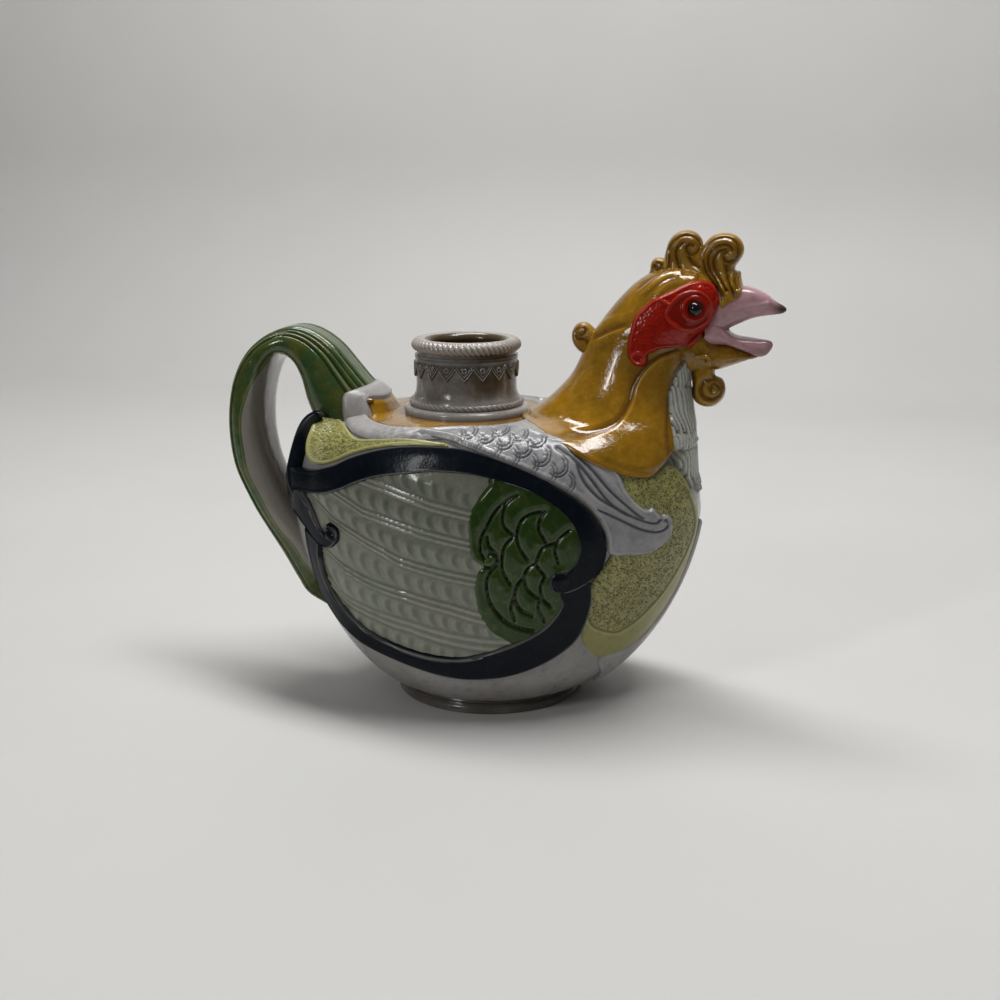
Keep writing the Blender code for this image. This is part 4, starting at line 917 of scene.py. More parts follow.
def makeFrame():
    look = wingLook
    strips = [                                # both edges, steps along, and how far the tail end stands off
        (onBarrel(look["topOuter"]), onBarrel(look["topInner"]), 230, 3.0),
        (onBarrel(flank(*look["lowOuter"])), onBarrel(flank(*look["lowInner"])), 230, 0),
        (onBarrel(look["spurOuter"]), onBarrel(look["spurInner"]), 90, 1.2)]
    whole = newMesh()

    def bandRelief(share, width):             # flat-topped band with a worn line along each edge
        near = np.minimum(share, 1 - share) * width
        slope = 1 - (1 - np.clip(near / look["frameRound"], 0, 1)) ** 2.4
        height = look["frame"] * slope + look["frameBead"] * ridge(near - look["frameRound"], 0.9)
        return height, look["frameWorn"] * ridge(near - 1.0, 0.55)

    for left, right, count, ramp in strips:
        bm, flat, spots, width = ribbon(left, right, count, look["frameAcross"])
        height, edge = bandRelief(flat[:, 1], width)
        paint(bm, edge=edge * fade(np.minimum(flat[:, 0], 1 - flat[:, 0]), 0.03, 0.08))
        raisePanel(bm, castBarrel(spots), height + ramp * fade(spots[:, 0], *look["tailRamp"]))
        joinInto(whole, bm)
    horn = tube(look["horn"], look["hornThick"], look["hornWide"], *look["hornMesh"])
    at = coords(horn)
    setCoords(horn, at + (0, look["hornSide"], 0))
    tip = look["hornTipWorn"] * fade(at[:, 0], *look["hornTipX"]) * fade(at[:, 2], *look["hornTipZ"])
    paint(horn, edge=np.maximum(tip, look["hornLineWorn"] * ridge(at[:, 1] - look["hornLine"], 1.2)))
    joinInto(whole, horn)
    for centre, size in look["beads"]:        # round end of each scroll
        middle = onBarrel([centre])[0]
        bm, turn, share = reshapedSphere(28, 14, lambda turn, share: np.zeros((len(turn), 3)))
        reach = size * np.sin(np.minimum(share, 0.5) * pi)
        spots = middle + np.column_stack([np.cos(turn), np.sin(turn)]) * reach[:, None]
        ground, normals = drape(castBarrel(spots))
        dome = look["beadLift"] + look["beadDome"] * np.cos(share * pi)
        setCoords(bm, ground + normals * np.where(share < 0.5, dome, -bedDepth)[:, None])
        paint(bm, edge=look["beadWorn"] * ridge(share - 0.33, 0.1))
        joinInto(whole, bm)
    bothSides("wing_frame_band", whole, navyGlaze, "wing_frame")


makeFeathers()
makeScales()
makeFrame()
print("Wings made")


# Shoulder, tail, breast and keel panels
shoulderLook = {
    "step": 0.5, "lift": 2.4, "edgeDrop": 0.9, "edgeRound": 1.5, "bead": 0.45, "swell": 0.3, "groove": 0.5,
    "dark": 0.85, "beadWorn": 0.6, "swellWorn": 0.25, "arcGap": 0.7, "barbs": 5, "barbDeep": 0.6,
    "outline": [(-24, -49, 137), (-9, -52.6, 135.8), (1.5, -55.5, 133), (15.5, -57.4, 128.4),
                (29.5, -57.6, 123.4), (41.5, -56, 117.8), (52.8, -53.6, 111.2), (58.8, -51.6, 104.6),
                (63, -50, 96.2), (65.2, -48.9, 85.5), (73.5, -44.5, 84), (80, -40, 83.2), (86, -35, 85.2),
                (91, -30.5, 89.3), (92, -29, 94.5), (91, -30.5, 99.3), (88.5, -33, 101.6),
                (86.9, -34.5, 100.6), (85.4, -36, 102.8), (83.5, -37.5, 105.7), (81, -39, 104.6),
                (76.5, -42, 108), (71.5, -44, 115), (68, -43.5, 122), (60, -42, 127), (46, -41, 133),
                (30, -40, 137.5), (20, -33, 139.5), (10, -40, 139.4), (-10, -43.5, 139.2), (-24, -46, 138.2)],
    "grooves": [
        [(40.5, -48.5, 132.5), (49, -49.5, 127.5), (56.5, -50, 119.5), (65.5, -48.5, 109), (77, -42, 101),
         (84.5, -36.5, 97.8), (86.8, -34.5, 99.8)],
        [(50, -50, 126), (53, -51.5, 119.5), (60, -50.5, 112), (67, -47.5, 107), (73, -44.5, 103)],
        [(47, -46.5, 130.5), (56, -47.5, 123.5), (64, -47, 115), (72, -44.5, 107.5), (79, -40.5, 101)],
        [(60, -51, 106.5), (64, -49.5, 104.5), (71, -46, 100.5), (79, -41, 95.7), (85, -36, 93.7),
         (88.5, -33, 94.3), (90, -31.5, 96.8), (88.6, -33, 99)]],
    "scallops": [(-6, -51, 136.6), (3, -53.5, 135), (11.5, -55, 132.8), (20, -56, 130), (28.5, -56, 127),
                 (37, -55.5, 123.6), (45, -54, 119.2), (-1, -47.5, 138), (8, -49, 137.2),
                 (16.5, -50.5, 135.6), (25, -51.5, 133), (33.5, -52, 129.8), (41.5, -52, 125.6),
                 (13, -44, 138.6), (22, -45.5, 137.4), (30.5, -46.5, 135.4)],
    "scallop": 4.7}


def makeShoulder():
    look = shoulderLook
    outline = curveThrough(onBarrel(look["outline"]), 260, closed=True)
    bm, flat, rim = outlinePatch(outline, look["step"])
    gap = nearestOf(flat, [curveThrough(onBarrel(line), 50) for line in look["grooves"]])
    cut = 1 - fade(gap, 0.3, 1.1)
    swell = look["swell"] * ridge(gap - 2.4, 1.8)
    for centre in onBarrel(look["scallops"]):   # two arcs round each feather's end, and barbs inside them
        off = flat - centre
        reach, way = np.hypot(*off.T), np.arctan2(off[:, 1], off[:, 0])
        facing = fade(np.cos(way + 0.6), -0.35, 0.1)
        arcs = np.abs(np.abs(reach - look["scallop"] + look["arcGap"]) - look["arcGap"])
        cut = np.maximum(cut, facing * (1 - fade(arcs, 0.12, 0.5)))
        barbs = fade(np.abs(np.sin(way * look["barbs"] + 0.3)), 0.34, 0.1)
        barbs = look["barbDeep"] * facing * barbs * fade(reach, 0.6, 1.4) * fade(reach, 3.3, 2.8)
        cut = np.maximum(cut, barbs)
        swell = np.maximum(swell, look["swell"] * facing * fade(reach, look["scallop"], 2.5))
    cut *= fade(rim, 0.5, 1.5)
    height = look["lift"] - look["edgeDrop"] * (1 - fade(rim, 0, look["edgeRound"]))
    height = height + look["bead"] * ridge(rim - 1.8, 0.9) + swell - look["groove"] * cut
    worn = np.maximum(look["beadWorn"] * ridge(rim - 1.6, 0.8), look["swellWorn"] * fade(swell, 0.15, 0.3))
    paint(bm, pool=look["dark"] * cut, edge=worn)
    raisePanel(bm, castBarrel(flat), height)
    bothSides("shoulder_plume", bm, plumeGlaze, "shoulder_scroll")


tailLook = {
    "step": 0.36, "lift": 1.0, "worms": 0.32, "wormSize": 1.15, "bead": 0.5, "dark": 0.7, "worn": 0.4,
    "cant": 6, "cantFrom": (-70, -84),          # the rear end stands off, on to the handle's root
    "outline": [(-81, -14, 134), (-80, -25, 130), (-80, -31, 124), (-78.5, -35.5, 120), (-74, -40, 119.4),
                (-66, -44.6, 122.3), (-55.5, -48.3, 127.3), (-43.5, -51.2, 131), (-30, -53.2, 133),
                (-6, -55, 133.4), (-6, -54.6, 134), (-30.5, -50.5, 135.6), (-44, -48, 134.4),
                (-54, -44.5, 133.2), (-59, -40, 134), (-65.5, -30, 136.2), (-72, -19.5, 136.8)]}


def makeTail():
    look = tailLook
    outline = curveThrough(onBarrel(look["outline"]), 160, closed=True)
    bm, flat, rim = outlinePatch(outline, look["step"])
    slanted = flat @ [[0.9, -0.5], [0.5, 1.2]]
    worm = stipple(np.column_stack([slanted, np.zeros(len(flat))]), look["wormSize"], 3.0)
    field = fade(rim, 1.2, 2.0)
    height = look["lift"] + look["worms"] * worm * field + look["bead"] * ridge(rim - 0.8, 0.8)
    height = height + look["cant"] * fade(flat[:, 0], *look["cantFrom"])
    worn = np.maximum(look["worn"] * ridge(rim - 0.8, 0.7), look["worn"] * fade(worm, 0.6, 1) * field)
    paint(bm, pool=look["dark"] * np.clip(0.85 - worm, 0, 1) * field, edge=worn)
    raisePanel(bm, castBarrel(flat), height)
    bothSides("tail_panel_stippled", bm, mossGlaze, "tail_panel")


breastLook = {
    "step": 0.38, "lift": 1.1, "worms": 0.32, "wormSize": 1.25, "bead": 0.6, "edgeDrop": 0.5,
    "within": (75, -43, 75), "dark": 0.95, "smudge": 0.5, "smudgeAt": 117,
    "hemDark": 0.7, "marginDark": 0.2, "beadWorn": 0.4, "worn": 0.5,
    "outline": [(67, -48, 86), (60, -51, 74), (55, -52, 66), (56, -50, 58), (53, -48.5, 44), (58, -42, 33),
                (66, -36, 29), (77, -26, 32), (87.5, -16, 42.5), (94.5, -11, 57), (100, -9.5, 72),
                (103, -8, 94), (101, -15, 106), (94, -22, 121), (83, -33, 121), (68, -43, 123),
                (60, -48, 112), (66, -49, 98)],
    "rim": [(54, -51.5, 57), (57, -48.5, 49), (64, -44.5, 44.5), (71.5, -39.5, 43), (80, -32.5, 48.5),
            (88.5, -24.5, 59), (95, -19, 70.5), (99.4, -14.5, 81), (101.7, -12, 91), (101.2, -14.5, 100),
            (99, -18, 108)]}


def makeBreast():
    look = breastLook
    outline = curveThrough(onTurret(look["outline"]), 200, closed=True)
    bm, flat, rim = outlinePatch(outline, look["step"])
    hem, side = nearLine(flat, curveThrough(onTurret(look["rim"]), 60))[::2]
    inner = side == side[np.argmin(np.hypot(*(flat - onTurret([look["within"]])[0]).T))]
    slanted = flat @ [[0.8, -0.5], [0.5, 0.9]]
    worm = stipple(np.column_stack([slanted, np.zeros(len(flat))]), look["wormSize"], 9.0)
    field = fade(hem, 1.4, 2.2) * inner
    height = look["lift"] + look["worms"] * worm * field + look["bead"] * ridge(hem, 1.5)
    height = height - look["edgeDrop"] * (1 - fade(rim, 0, 1.0))
    smudge = look["smudge"] * ridge(flat[:, 1] - look["smudgeAt"], 12) * fade(grain(flat, 20, 6), 0.0, 0.6)
    hollows = np.maximum(look["dark"] * np.clip(0.85 - worm, 0, 1), smudge) * field
    margin = look["hemDark"] * ridge(hem - 1.5, 0.9) * inner + look["marginDark"] * ~inner
    worn = np.maximum(look["beadWorn"] * ridge(hem, 1.1), look["worn"] * fade(worm, 0.6, 1) * field)
    paint(bm, pool=np.maximum(hollows, margin), edge=worn)
    raisePanel(bm, castTurret(flat), height)
    bothSides("breast_panel_stippled", bm, mossGlaze, "breast_panel")


keelLook = {
    "step": 0.6, "lift": 1.9, "edgeDrop": 1.0, "vein": 0.6, "veinTop": 40, "veinDark": 0.5, "worn": 0.6,
    "outline": [(104, 0, 92), (103.8, -3, 88), (102.4, -8.5, 74), (97, -10, 60), (90, -14.5, 46),
                (82, -23, 36), (73, -30, 32), (63, -37, 31), (60, -35, 26), (63, -30, 18), (58, -20, 11),
                (52, 0, 10)]}


def makeKeel():
    look = keelLook
    outline = halfToWhole(onTurret(look["outline"]), 160, (-1, 1))
    bm, flat, rim = outlinePatch(outline, look["step"])
    vein = (1 - fade(np.abs(flat[:, 0]), 0.3, 1.0)) * (flat[:, 1] < look["veinTop"])
    height = look["lift"] - look["edgeDrop"] * (1 - fade(rim, 0, 1.6)) - look["vein"] * vein
    paint(bm, edge=look["worn"] * ridge(rim - 1.3, 0.8), pool=look["veinDark"] * vein)
    raisePanel(bm, castTurret(flat), height)
    finishPiece("breast_keel_leaf", bm, lilacGlaze, ["breast_keel"])


makeShoulder()
makeTail()
makeBreast()
makeKeel()
print("Shoulder, tail, breast and keel made")


# Foot and filler collar
footLook = {
    "steps": 160, "tint": 0.85, "soleTint": 0.95, "groove": 4.8, "grooveDark": 0.7,
    "profile": [(36, 6.9), (46.6, 6.9), (46.9, 6.4), (46.5, 5.7), (45.6, 5.2), (45.3, 4.6), (45.8, 4.0),
                (46.7, 3.4), (46.9, 2.6), (46.6, 1.6), (46.9, 0.9), (46.3, 0.1), (45.5, 0), (37, 0), (36, 1)]}


def makeFoot():
    look = footLook
    bm = turned(look["profile"], 0, look["steps"])
    z = coords(bm)[:, 2]
    paint(bm, tint=np.maximum(look["tint"], look["soleTint"] * fade(z, 1.6, 0.4)),
          pool=look["grooveDark"] * ridge(z - look["groove"], 0.9))
    finishPiece("foot_turned", bm, greyGlaze, ["foot_ring"])


collarLook = {
    "x": -12, "steps": 120, "boreShade": (0.95, 0.85), "stain": 0.8, "stainWay": -0.85, "stainWidth": 0.55,
    "ringDark": 0.6, "ringLevel": 168, "footWorn": 0.4, "boreEdge": 21, "stainFrom": (149, 154),
    "footFrom": (151, 148),
    "bead": {"middle": 26.9, "level": 146.4, "thick": (1.5, 1.5), "strands": 62, "lean": 4.0,
             "towards": 0.6, "shown": (-0.2, 0.3), "depth": 0.55},
    "rim": {"middle": 22.7, "level": 174.1, "thick": (4.3, 3.3), "strands": 60, "lean": 5.0,
            "towards": -0.1, "shown": (0.1, 0.45), "depth": 0.9},
    "rimWorn": (0.7, 0.5), "rimInside": (20.8, 19.6), "rimDark": 0.9,
    "scallops": 18, "perScallop": 22, "rows": 24, "bandRadius": 24.75, "bandTop": 168,
    "cusp": 164.6, "tip": 158.6, "curve": 0.85, "slant": 0.72, "lines": (0.55, 1.75), "linesTop": 166.2,
    "eyelet": 164.2, "band": 0.35, "relief": 0.75, "bandDark": 0.75, "bandWorn": 0.5,
    "bandFrom": (167.4, 165.7), "arcRadius": 25,
    "tube": [(20, 171.2), (24.3, 171.2), (24.3, 169.8), (25.3, 169.4), (25.4, 168.4), (24.8, 167.8),
             (24.7, 161), (24.6, 154.5), (24.9, 151.5), (25.8, 149.4), (27.2, 147.8), (27.2, 140.3),
             (20, 140.3)],
    "flange": [(25.5, 144.8), (28.8, 144.7), (30.1, 144.1), (30.7, 143.1), (30.6, 141.6), (30.2, 140.3),
               (25.5, 140.3)]}


def makeCollar():
    look = collarLook
    x = look["x"]
    bm = turned(look["tube"], x, look["steps"])
    at = coords(bm) - (x, 0, 0)
    around, radius = np.arctan2(at[:, 1], at[:, 0]), np.hypot(at[:, 0], at[:, 1])
    inside = radius < look["boreEdge"]
    stain = ridge(np.angle(np.exp(1j * (around - look["stainWay"]))), look["stainWidth"])
    stain = look["stain"] * stain * fade(at[:, 2], *look["stainFrom"])
    ring = look["ringDark"] * ridge(at[:, 2] - look["ringLevel"], 0.6)
    # painted shade: the inside of the bore is coloured dark, as it lies in shade
    paint(bm, tint=np.where(inside, look["boreShade"][0], stain),
          pool=np.where(inside, look["boreShade"][1], ring),
          edge=look["footWorn"] * fade(at[:, 2], *look["footFrom"]) * ~inside)
    finishPiece("collar_tube", bm, collarGlaze, ["filler_collar"])

    bm = turned(look["flange"], x, look["steps"])
    finishPiece("collar_flange_ring", bm, greyGlaze, ["collar_flange"])
    finishPiece("collar_bead_roped", roped(look["bead"], x), greyGlaze, ["collar_rope_bead"])
    rim = roped(look["rim"], x)
    at = coords(rim) - (x, 0, 0)
    inside = fade(np.hypot(at[:, 0], at[:, 1]), *look["rimInside"])
    strand = np.array([vert[rim.verts.layers.float["pool"]] for vert in rim.verts])
    worn = look["rimWorn"][0] - look["rimWorn"][1] * strand
    # painted shade: the rope rim's inner side, facing the bore, is coloured dark
    paint(rim, tint=look["rimDark"] * inside, edge=worn * (1 - inside))
    finishPiece("collar_rim_roped", rim, collarGlaze, ["collar_rope_rim"])

    count, top, cusp, tip = (look[key] for key in ("scallops", "bandTop", "cusp", "tip"))
    bm, flat = gridPatch(count * look["perScallop"], look["rows"])
    around = 2 * pi * flat[:, 0]
    lobe = 1 - np.abs((around * count / pi + 1) % 2 - 1)
    lowest = cusp - (cusp - tip) * lobe ** look["curve"]
    z = lowest + (top - lowest) * flat[:, 1]
    aside = np.arcsin(np.clip(np.sin(around * count / 2), -1, 1)) * 2 / count * look["arcRadius"]
    lean = (z - lowest) * look["slant"]
    eyelet = ridge(np.hypot(aside, z - look["eyelet"]) - 1.0, 0.45)
    hems = ridge(lean - look["lines"][0], 0.5) + 0.8 * ridge(lean - look["lines"][1], 0.45)
    lines = np.maximum(hems * (z < look["linesTop"]), eyelet)
    way = np.column_stack([np.cos(around), np.sin(around), np.zeros(len(z))])
    ground = way * look["bandRadius"] + np.column_stack([np.full(len(z), x), np.zeros(len(z)), z])
    paint(bm, pool=look["bandDark"] * (1 - np.clip(lines * 1.6, 0, 1)) * fade(z, *look["bandFrom"]),
          edge=look["bandWorn"] * fade(lines, 0.5, 1))
    raiseOn(bm, ground, way, look["band"] + look["relief"] * lines, 0.0)
    bmesh.ops.remove_doubles(bm, verts=bm.verts, dist=0.0005)
    finishPiece("collar_scallops", bm, collarGlaze, ["collar_scallop_band"])


makeFoot()
makeCollar()
print("Turned pieces made")


# Handle: a wide ribbed strap, green outside and bare grey inside
handleLook = {
    "outer": [(-46, 138), (-53, 147), (-61.5, 154.5), (-68.5, 162.5), (-77.5, 172.5), (-88, 179.3),
              (-99, 181.3), (-111, 177.5), (-122, 168.5), (-129, 156), (-132.3, 141), (-132.8, 126),
              (-130.5, 110), (-124, 95), (-116, 79.5), (-107.5, 64.5), (-101, 52), (-96, 43), (-87, 36.5)],
    "inner": [(-70, 108), (-80, 122), (-87, 134), (-91.5, 145), (-94, 156), (-97.5, 163.5), (-102.5, 167),
              (-107, 164.5), (-110.5, 157.5), (-113, 148.5), (-114.3, 138), (-114, 126), (-111.5, 114),
              (-107, 102), (-99.5, 88.5), (-91.5, 75), (-87.5, 61), (-85, 50), (-81.5, 43)],
    "half": [(0, 22.5), (0.12, 21.5), (0.3, 19.5), (0.55, 19.5), (0.75, 18), (0.85, 13), (0.93, 8), (1, 2)],
    "across": 2.7, "through": 2.3, "grooveDark": 0.9, "grooveDeep": 1.4, "ribWorn": 0.75, "bareWorn": 0.6,
    "ribs": [(0, 0), (8, 0.1), (12, -0.2), (15, -1.0), (18, -0.1), (23, 0.4), (27, -0.1), (30, -1.1),
             (33, -0.2), (37, 0.3), (41, -0.2), (44, -1.2), (47, -0.3), (51, 0.7), (55, 0.4), (58.5, -0.9),
             (63, -0.1), (72, 0.1), (180, 0)],
    "bare": [(0, 0.2), (0.3, 0.1), (0.4, 0.12), (0.47, 0.26), (0.56, 0.42), (0.68, 0.5), (0.8, 0.52),
             (0.87, 0.42), (0.94, 0.2), (1, 0)],
    "rings": 170, "turns": 200, "uneven": 0.02, "spread": (300, 20)}   # roughly its length and thickness


def strapShape(turn, share, lift=0):          # surface of the strap, and its depth from 0 inside to 1 outside
    look = handleLook
    out, inn = onLine(splined(look["outer"]), share), onLine(splined(look["inner"]), share)
    half = np.interp(share, *np.array(look["half"]).T)
    way = (out - inn) / np.linalg.norm(out - inn, axis=1)[:, None]
    aside = bulged(np.sin(turn), 2 / look["across"])
    depth = 0.5 + 0.5 * bulged(np.cos(turn), 2 / look["through"])
    spot = inn + (out - inn) * depth[:, None] + way * (lift * np.cos(turn))[:, None]
    return np.column_stack([spot[:, 0], half * aside + lift * np.sin(turn), spot[:, 1]]), depth


def makeHandle():
    look = handleLook

    def ribs(turn):
        return np.interp(np.degrees(np.abs(np.angle(np.exp(1j * turn)))), *np.array(look["ribs"]).T)

    def shape(turn, share):
        return strapShape(turn, share, ribs(turn))[0]

    bm, turn, share = reshapedSphere(look["turns"], look["rings"], shape)
    rib, depth = ribs(turn), strapShape(turn, share)[1]
    uneven = look["uneven"] * grain(np.column_stack([share, depth]) * look["spread"], 30, 5)
    bare = np.interp(share, *np.array(look["bare"]).T) + uneven
    worn = look["ribWorn"] * fade(rib, 0.2, 0.5)
    paint(bm, tint=fade(depth, bare + 0.03, bare - 0.03),
          pool=np.clip(-rib / look["grooveDeep"], 0, 1) * look["grooveDark"],
          edge=np.maximum(worn, look["bareWorn"] * ridge(depth - bare - 0.05, 0.04)))
    finishPiece("handle_ribbed", bm, handleGlaze, ["handle_strap"])


# Back: ochre saddle round the filler and its lilac border
backLook = {
    "step": 0.8, "collarX": -12, "bore": 21.5, "flange": 31, "floor": 0.4, "hem": 1.3, "hemBead": 0.3,
    "edgeDrop": 0.8, "barbPitch": 2.4, "barbDeep": 0.35, "barbDark": 0.45, "hemWorn": 0.5, "edgeDark": 0.35,
    "barbFrom": (-52, -40), "glaze": 1.1, "rimDark": 0.5, "flangeDark": 0.85, "worn": 0.4,
    "sheetWorn": 0.35, "sheetDark": 0.35,
    "bud": (2.6, 2.0, 1.4), "budTurn": 40, "budShare": 0.070, "budLift": 1.1, "budDark": 0.3,
    "arm": 20, "length": 220, "bed": 1.5, "sunk": 1.7,   # the strap's radius and length, roughly
    "saddle": [(-62, 0), (-60, -12), (-55, -24), (-49, -33), (-41, -39.5), (-30, -43), (-14, -44), (0, -42),
               (11, -36), (18, -28), (22, -14), (23, 0)],
    "border": [(-69, 0), (-68.5, -13), (-67, -24), (-62, -35), (-54, -43), (-42, -49), (-25, -52), (4, -51.5),
               (22, -49), (36, -45), (45, -38), (50, 0)],
    "sleeve": {"reach": [(0, 0.103), (20, 0.106), (42, 0.113), (58, 0.119), (68, 0.115), (78, 0.1),
                         (87, 0.08), (94, 0.052), (100, 0.03), (112, 0.01)],
               "lift": 2.1, "round": 6.0},
    "apron": {"reach": [(0, 0.05), (12, 0.053), (22, 0.06), (31, 0.068), (38, 0.072), (44, 0.067), (50, 0.05),
                        (56, 0.03), (62, 0.01)],
              "lift": 1.0, "round": 1.4}}


def climbing(look, hollow=None):               # a sheet of the back that runs up the handle's root
    arm, length, bed, sunk = (backLook[key] for key in ("arm", "length", "bed", "sunk"))

    def reachOf(sheet):                        # how far up it runs at each turn: shares, and a line in mm
        half = curveThrough(sheet["reach"], 80)
        half[:, 0] = np.maximum.accumulate(half[:, 0])
        line = np.radians(half[:, 0]) * arm, half[:, 1] * length
        return half, np.column_stack([np.append(-line[0][::-1], line[0]), np.append(line[1][::-1], line[1])])

    bm, flat = gridPatch(160, 60)
    half, line = reachOf(look)
    turn = np.radians(half[-1, 0]) * (2 * flat[:, 0] - 1)
    share = np.interp(np.degrees(np.abs(turn)), *half.T) * flat[:, 1]
    spots = np.column_stack([turn * arm, share * length])
    rim = nearLine(spots, line)[0]
    height = look["lift"] * roundOff(rim / look["round"])
    if hollow:                                # sunk where the ochre lies
        half, line = reachOf(hollow)
        within = share < np.interp(np.degrees(np.abs(turn)), *half.T, right=0)
        height -= sunk * fade(nearLine(spots, line)[0] * np.where(within, 1, -1), -1.6, 1.4)
    paint(bm, edge=backLook["sheetWorn"] * ridge(rim - 2, 1.4),
          pool=backLook["sheetDark"] * (1 - fade(rim, 0, 1.2)))
    ground, top = strapShape(turn, share, np.full(len(turn), -bed))[0], strapShape(turn, share, height)[0]
    return raiseOn(bm, ground, top - ground, np.ones(len(turn)), 0)


def openBore(bm, flat, rim):                   # a sheet of the back without what lies over the filler's bore
    look = backLook
    order = bm.verts.layers.int.new("order")
    for k, vert in enumerate(bm.verts):
        vert[order] = k
    covered = np.hypot(flat[:, 0] - look["collarX"], flat[:, 1]) < look["bore"]
    gone = [face for face in bm.faces if any(covered[vert[order]] for vert in face.verts)]
    bmesh.ops.delete(bm, geom=gone, context="FACES")
    kept = [vert[order] for vert in bm.verts]
    bm.verts.layers.int.remove(order)
    return flat[kept], rim[kept]


def makeBack():
    look = backLook
    mirror = (1, -1)
    saddle = halfToWhole(look["saddle"], 180, mirror)
    bm, flat, rim = outlinePatch(halfToWhole(look["border"], 200, mirror), look["step"])
    flat, rim = openBore(bm, flat, rim)
    hem = nearLine(flat, np.vstack([saddle, saddle[:1]]))[0]
    within = insideOutline(flat, saddle)
    height = np.where(within, look["floor"], look["floor"] + look["hem"] * fade(hem, 0, 1.6))
    height = height + look["hemBead"] * ridge(hem - 1.6, 1.2) * ~within
    height -= look["edgeDrop"] * (1 - fade(rim, 0, 1.6))
    slant = np.abs(flat[:, 1]) * 0.9 + 0.22 * flat[:, 0] + 0.5 * grain(flat, 25, 8)
    barbs = ridge(slant % look["barbPitch"] - look["barbPitch"] / 2, 0.42)
    barbs = barbs * fade(hem, 2.2, 3.2) * ~within * fade(flat[:, 0], *look["barbFrom"])
    height -= look["barbDeep"] * barbs
    paint(bm, edge=look["hemWorn"] * ridge(hem - 1.5, 1.0) * ~within,
          pool=np.maximum(look["edgeDark"] * (1 - fade(rim, 0, 1.5)), look["barbDark"] * barbs))
    raisePanel(bm, castDown(flat), height)
    joinInto(bm, climbing(look["sleeve"], look["apron"]))
    finishPiece("back_border_band", bm, lilacGlaze, ["back_border"])

    bm, flat, rim = outlinePatch(saddle, look["step"])
    flat, rim = openBore(bm, flat, rim)
    ring = np.hypot(flat[:, 0] - look["collarX"], flat[:, 1]) - look["flange"]
    dark = look["rimDark"] * (1 - fade(rim, 0.2, 1.6))
    dark = np.maximum(dark, look["flangeDark"] * (1 - fade(ring, 0.5, 4.0)))
    paint(bm, pool=dark, edge=look["worn"] * fade(grain(flat, 30, 4), 0, 1))
    raisePanel(bm, castDown(flat), np.full(len(flat), look["glaze"]))
    joinInto(bm, climbing(look["apron"]))
    for way in (-1, 1):                       # a small bud at each tip of the ochre
        turn = np.array([way * radians(look["budTurn"])])
        spot = strapShape(turn, np.array([look["budShare"]]), np.array([look["budLift"]]))[0][0]
        bud = ball(spot, look["bud"])
        paint(bud, pool=look["budDark"])
        joinInto(bm, bud)
    finishPiece("saddle_glazed", bm, ochreGlaze, ["saddle_panel"])


makeHandle()
makeBack()
print("Handle and back made")


# Head: beak, chin, comb, curls, face
beakLook = {
    "upper": [(104, 179, 204, 9.6), (107.5, 179.6, 205, 10), (110.5, 181, 205.3, 9.9), (113, 183, 205.3, 9.4),
              (115.5, 185, 205.3, 8.8), (120, 187.2, 204.8, 7.6), (125.5, 189.6, 203.9, 6.2),
              (131.3, 190.9, 201.3, 4.6), (136, 191.5, 197.8, 3.4), (139.4, 192.2, 195.9, 2.3),
              (141, 193.3, 194.6, 0.9)],
    "lower": [(104, 176.5, 191, 9.4), (107.5, 176.6, 191.5, 9.9), (111, 176.8, 189, 9.8),
              (113.5, 176.9, 185.4, 9.4), (115.5, 176.5, 183.1, 8.8), (118, 175.6, 181.7, 8),
              (121, 174.4, 181, 7.2), (125, 172.8, 180.6, 6.2), (129, 171.5, 180, 5.0),
              (132.5, 172.4, 179.6, 3.6), (134.8, 175, 178.8, 2.0), (135.5, 176.6, 177.6, 0.6)],
    "chin": [(92, 163, 190, 10.5), (100, 163.5, 188.5, 10.8), (104, 164, 185, 10.2), (107, 164.6, 180, 9.6),
             (111, 165.3, 177.6, 8.8), (116, 167, 177, 7.8), (120.5, 168.7, 175, 6.2),
             (125, 170.2, 173.4, 4.2), (128.5, 171.3, 172.2, 1.2)],
    "ridge": [(111.2, 189), (116.3, 192.6), (122, 195), (127.7, 195.7), (132.2, 197)],
    "cheek": [(99.5, 172), (102.2, 172.2), (104.6, 172.4), (106.4, 171.2), (106.1, 169.4), (104.5, 168.9)],
    "cheekOut": 10.6, "mouth": ((113.4, 0, 184), (1.8, 4.2, 1.0)), "square": 0.85,
    "ridgeHigh": 0.7, "ridgeWorn": 0.5, "topWorn": 0.4, "tipDark": 0.8, "rootDark": 0.3,
    "lowerWorn": 0.4, "lowerTip": 0.3, "lowerDark": 0.4, "fur": 0.2, "furDark": 0.4,
    "tipFrom": (133, 139), "rootFrom": (110, 107), "lowerTipFrom": (130, 134), "lowerFrom": (177, 173),
    "furSize": 1.9, "furLong": (0.6, 1, 1), "cheekThick": (1.0, 1.2, 1.2), "cheekWide": (1.4, 1.4)}


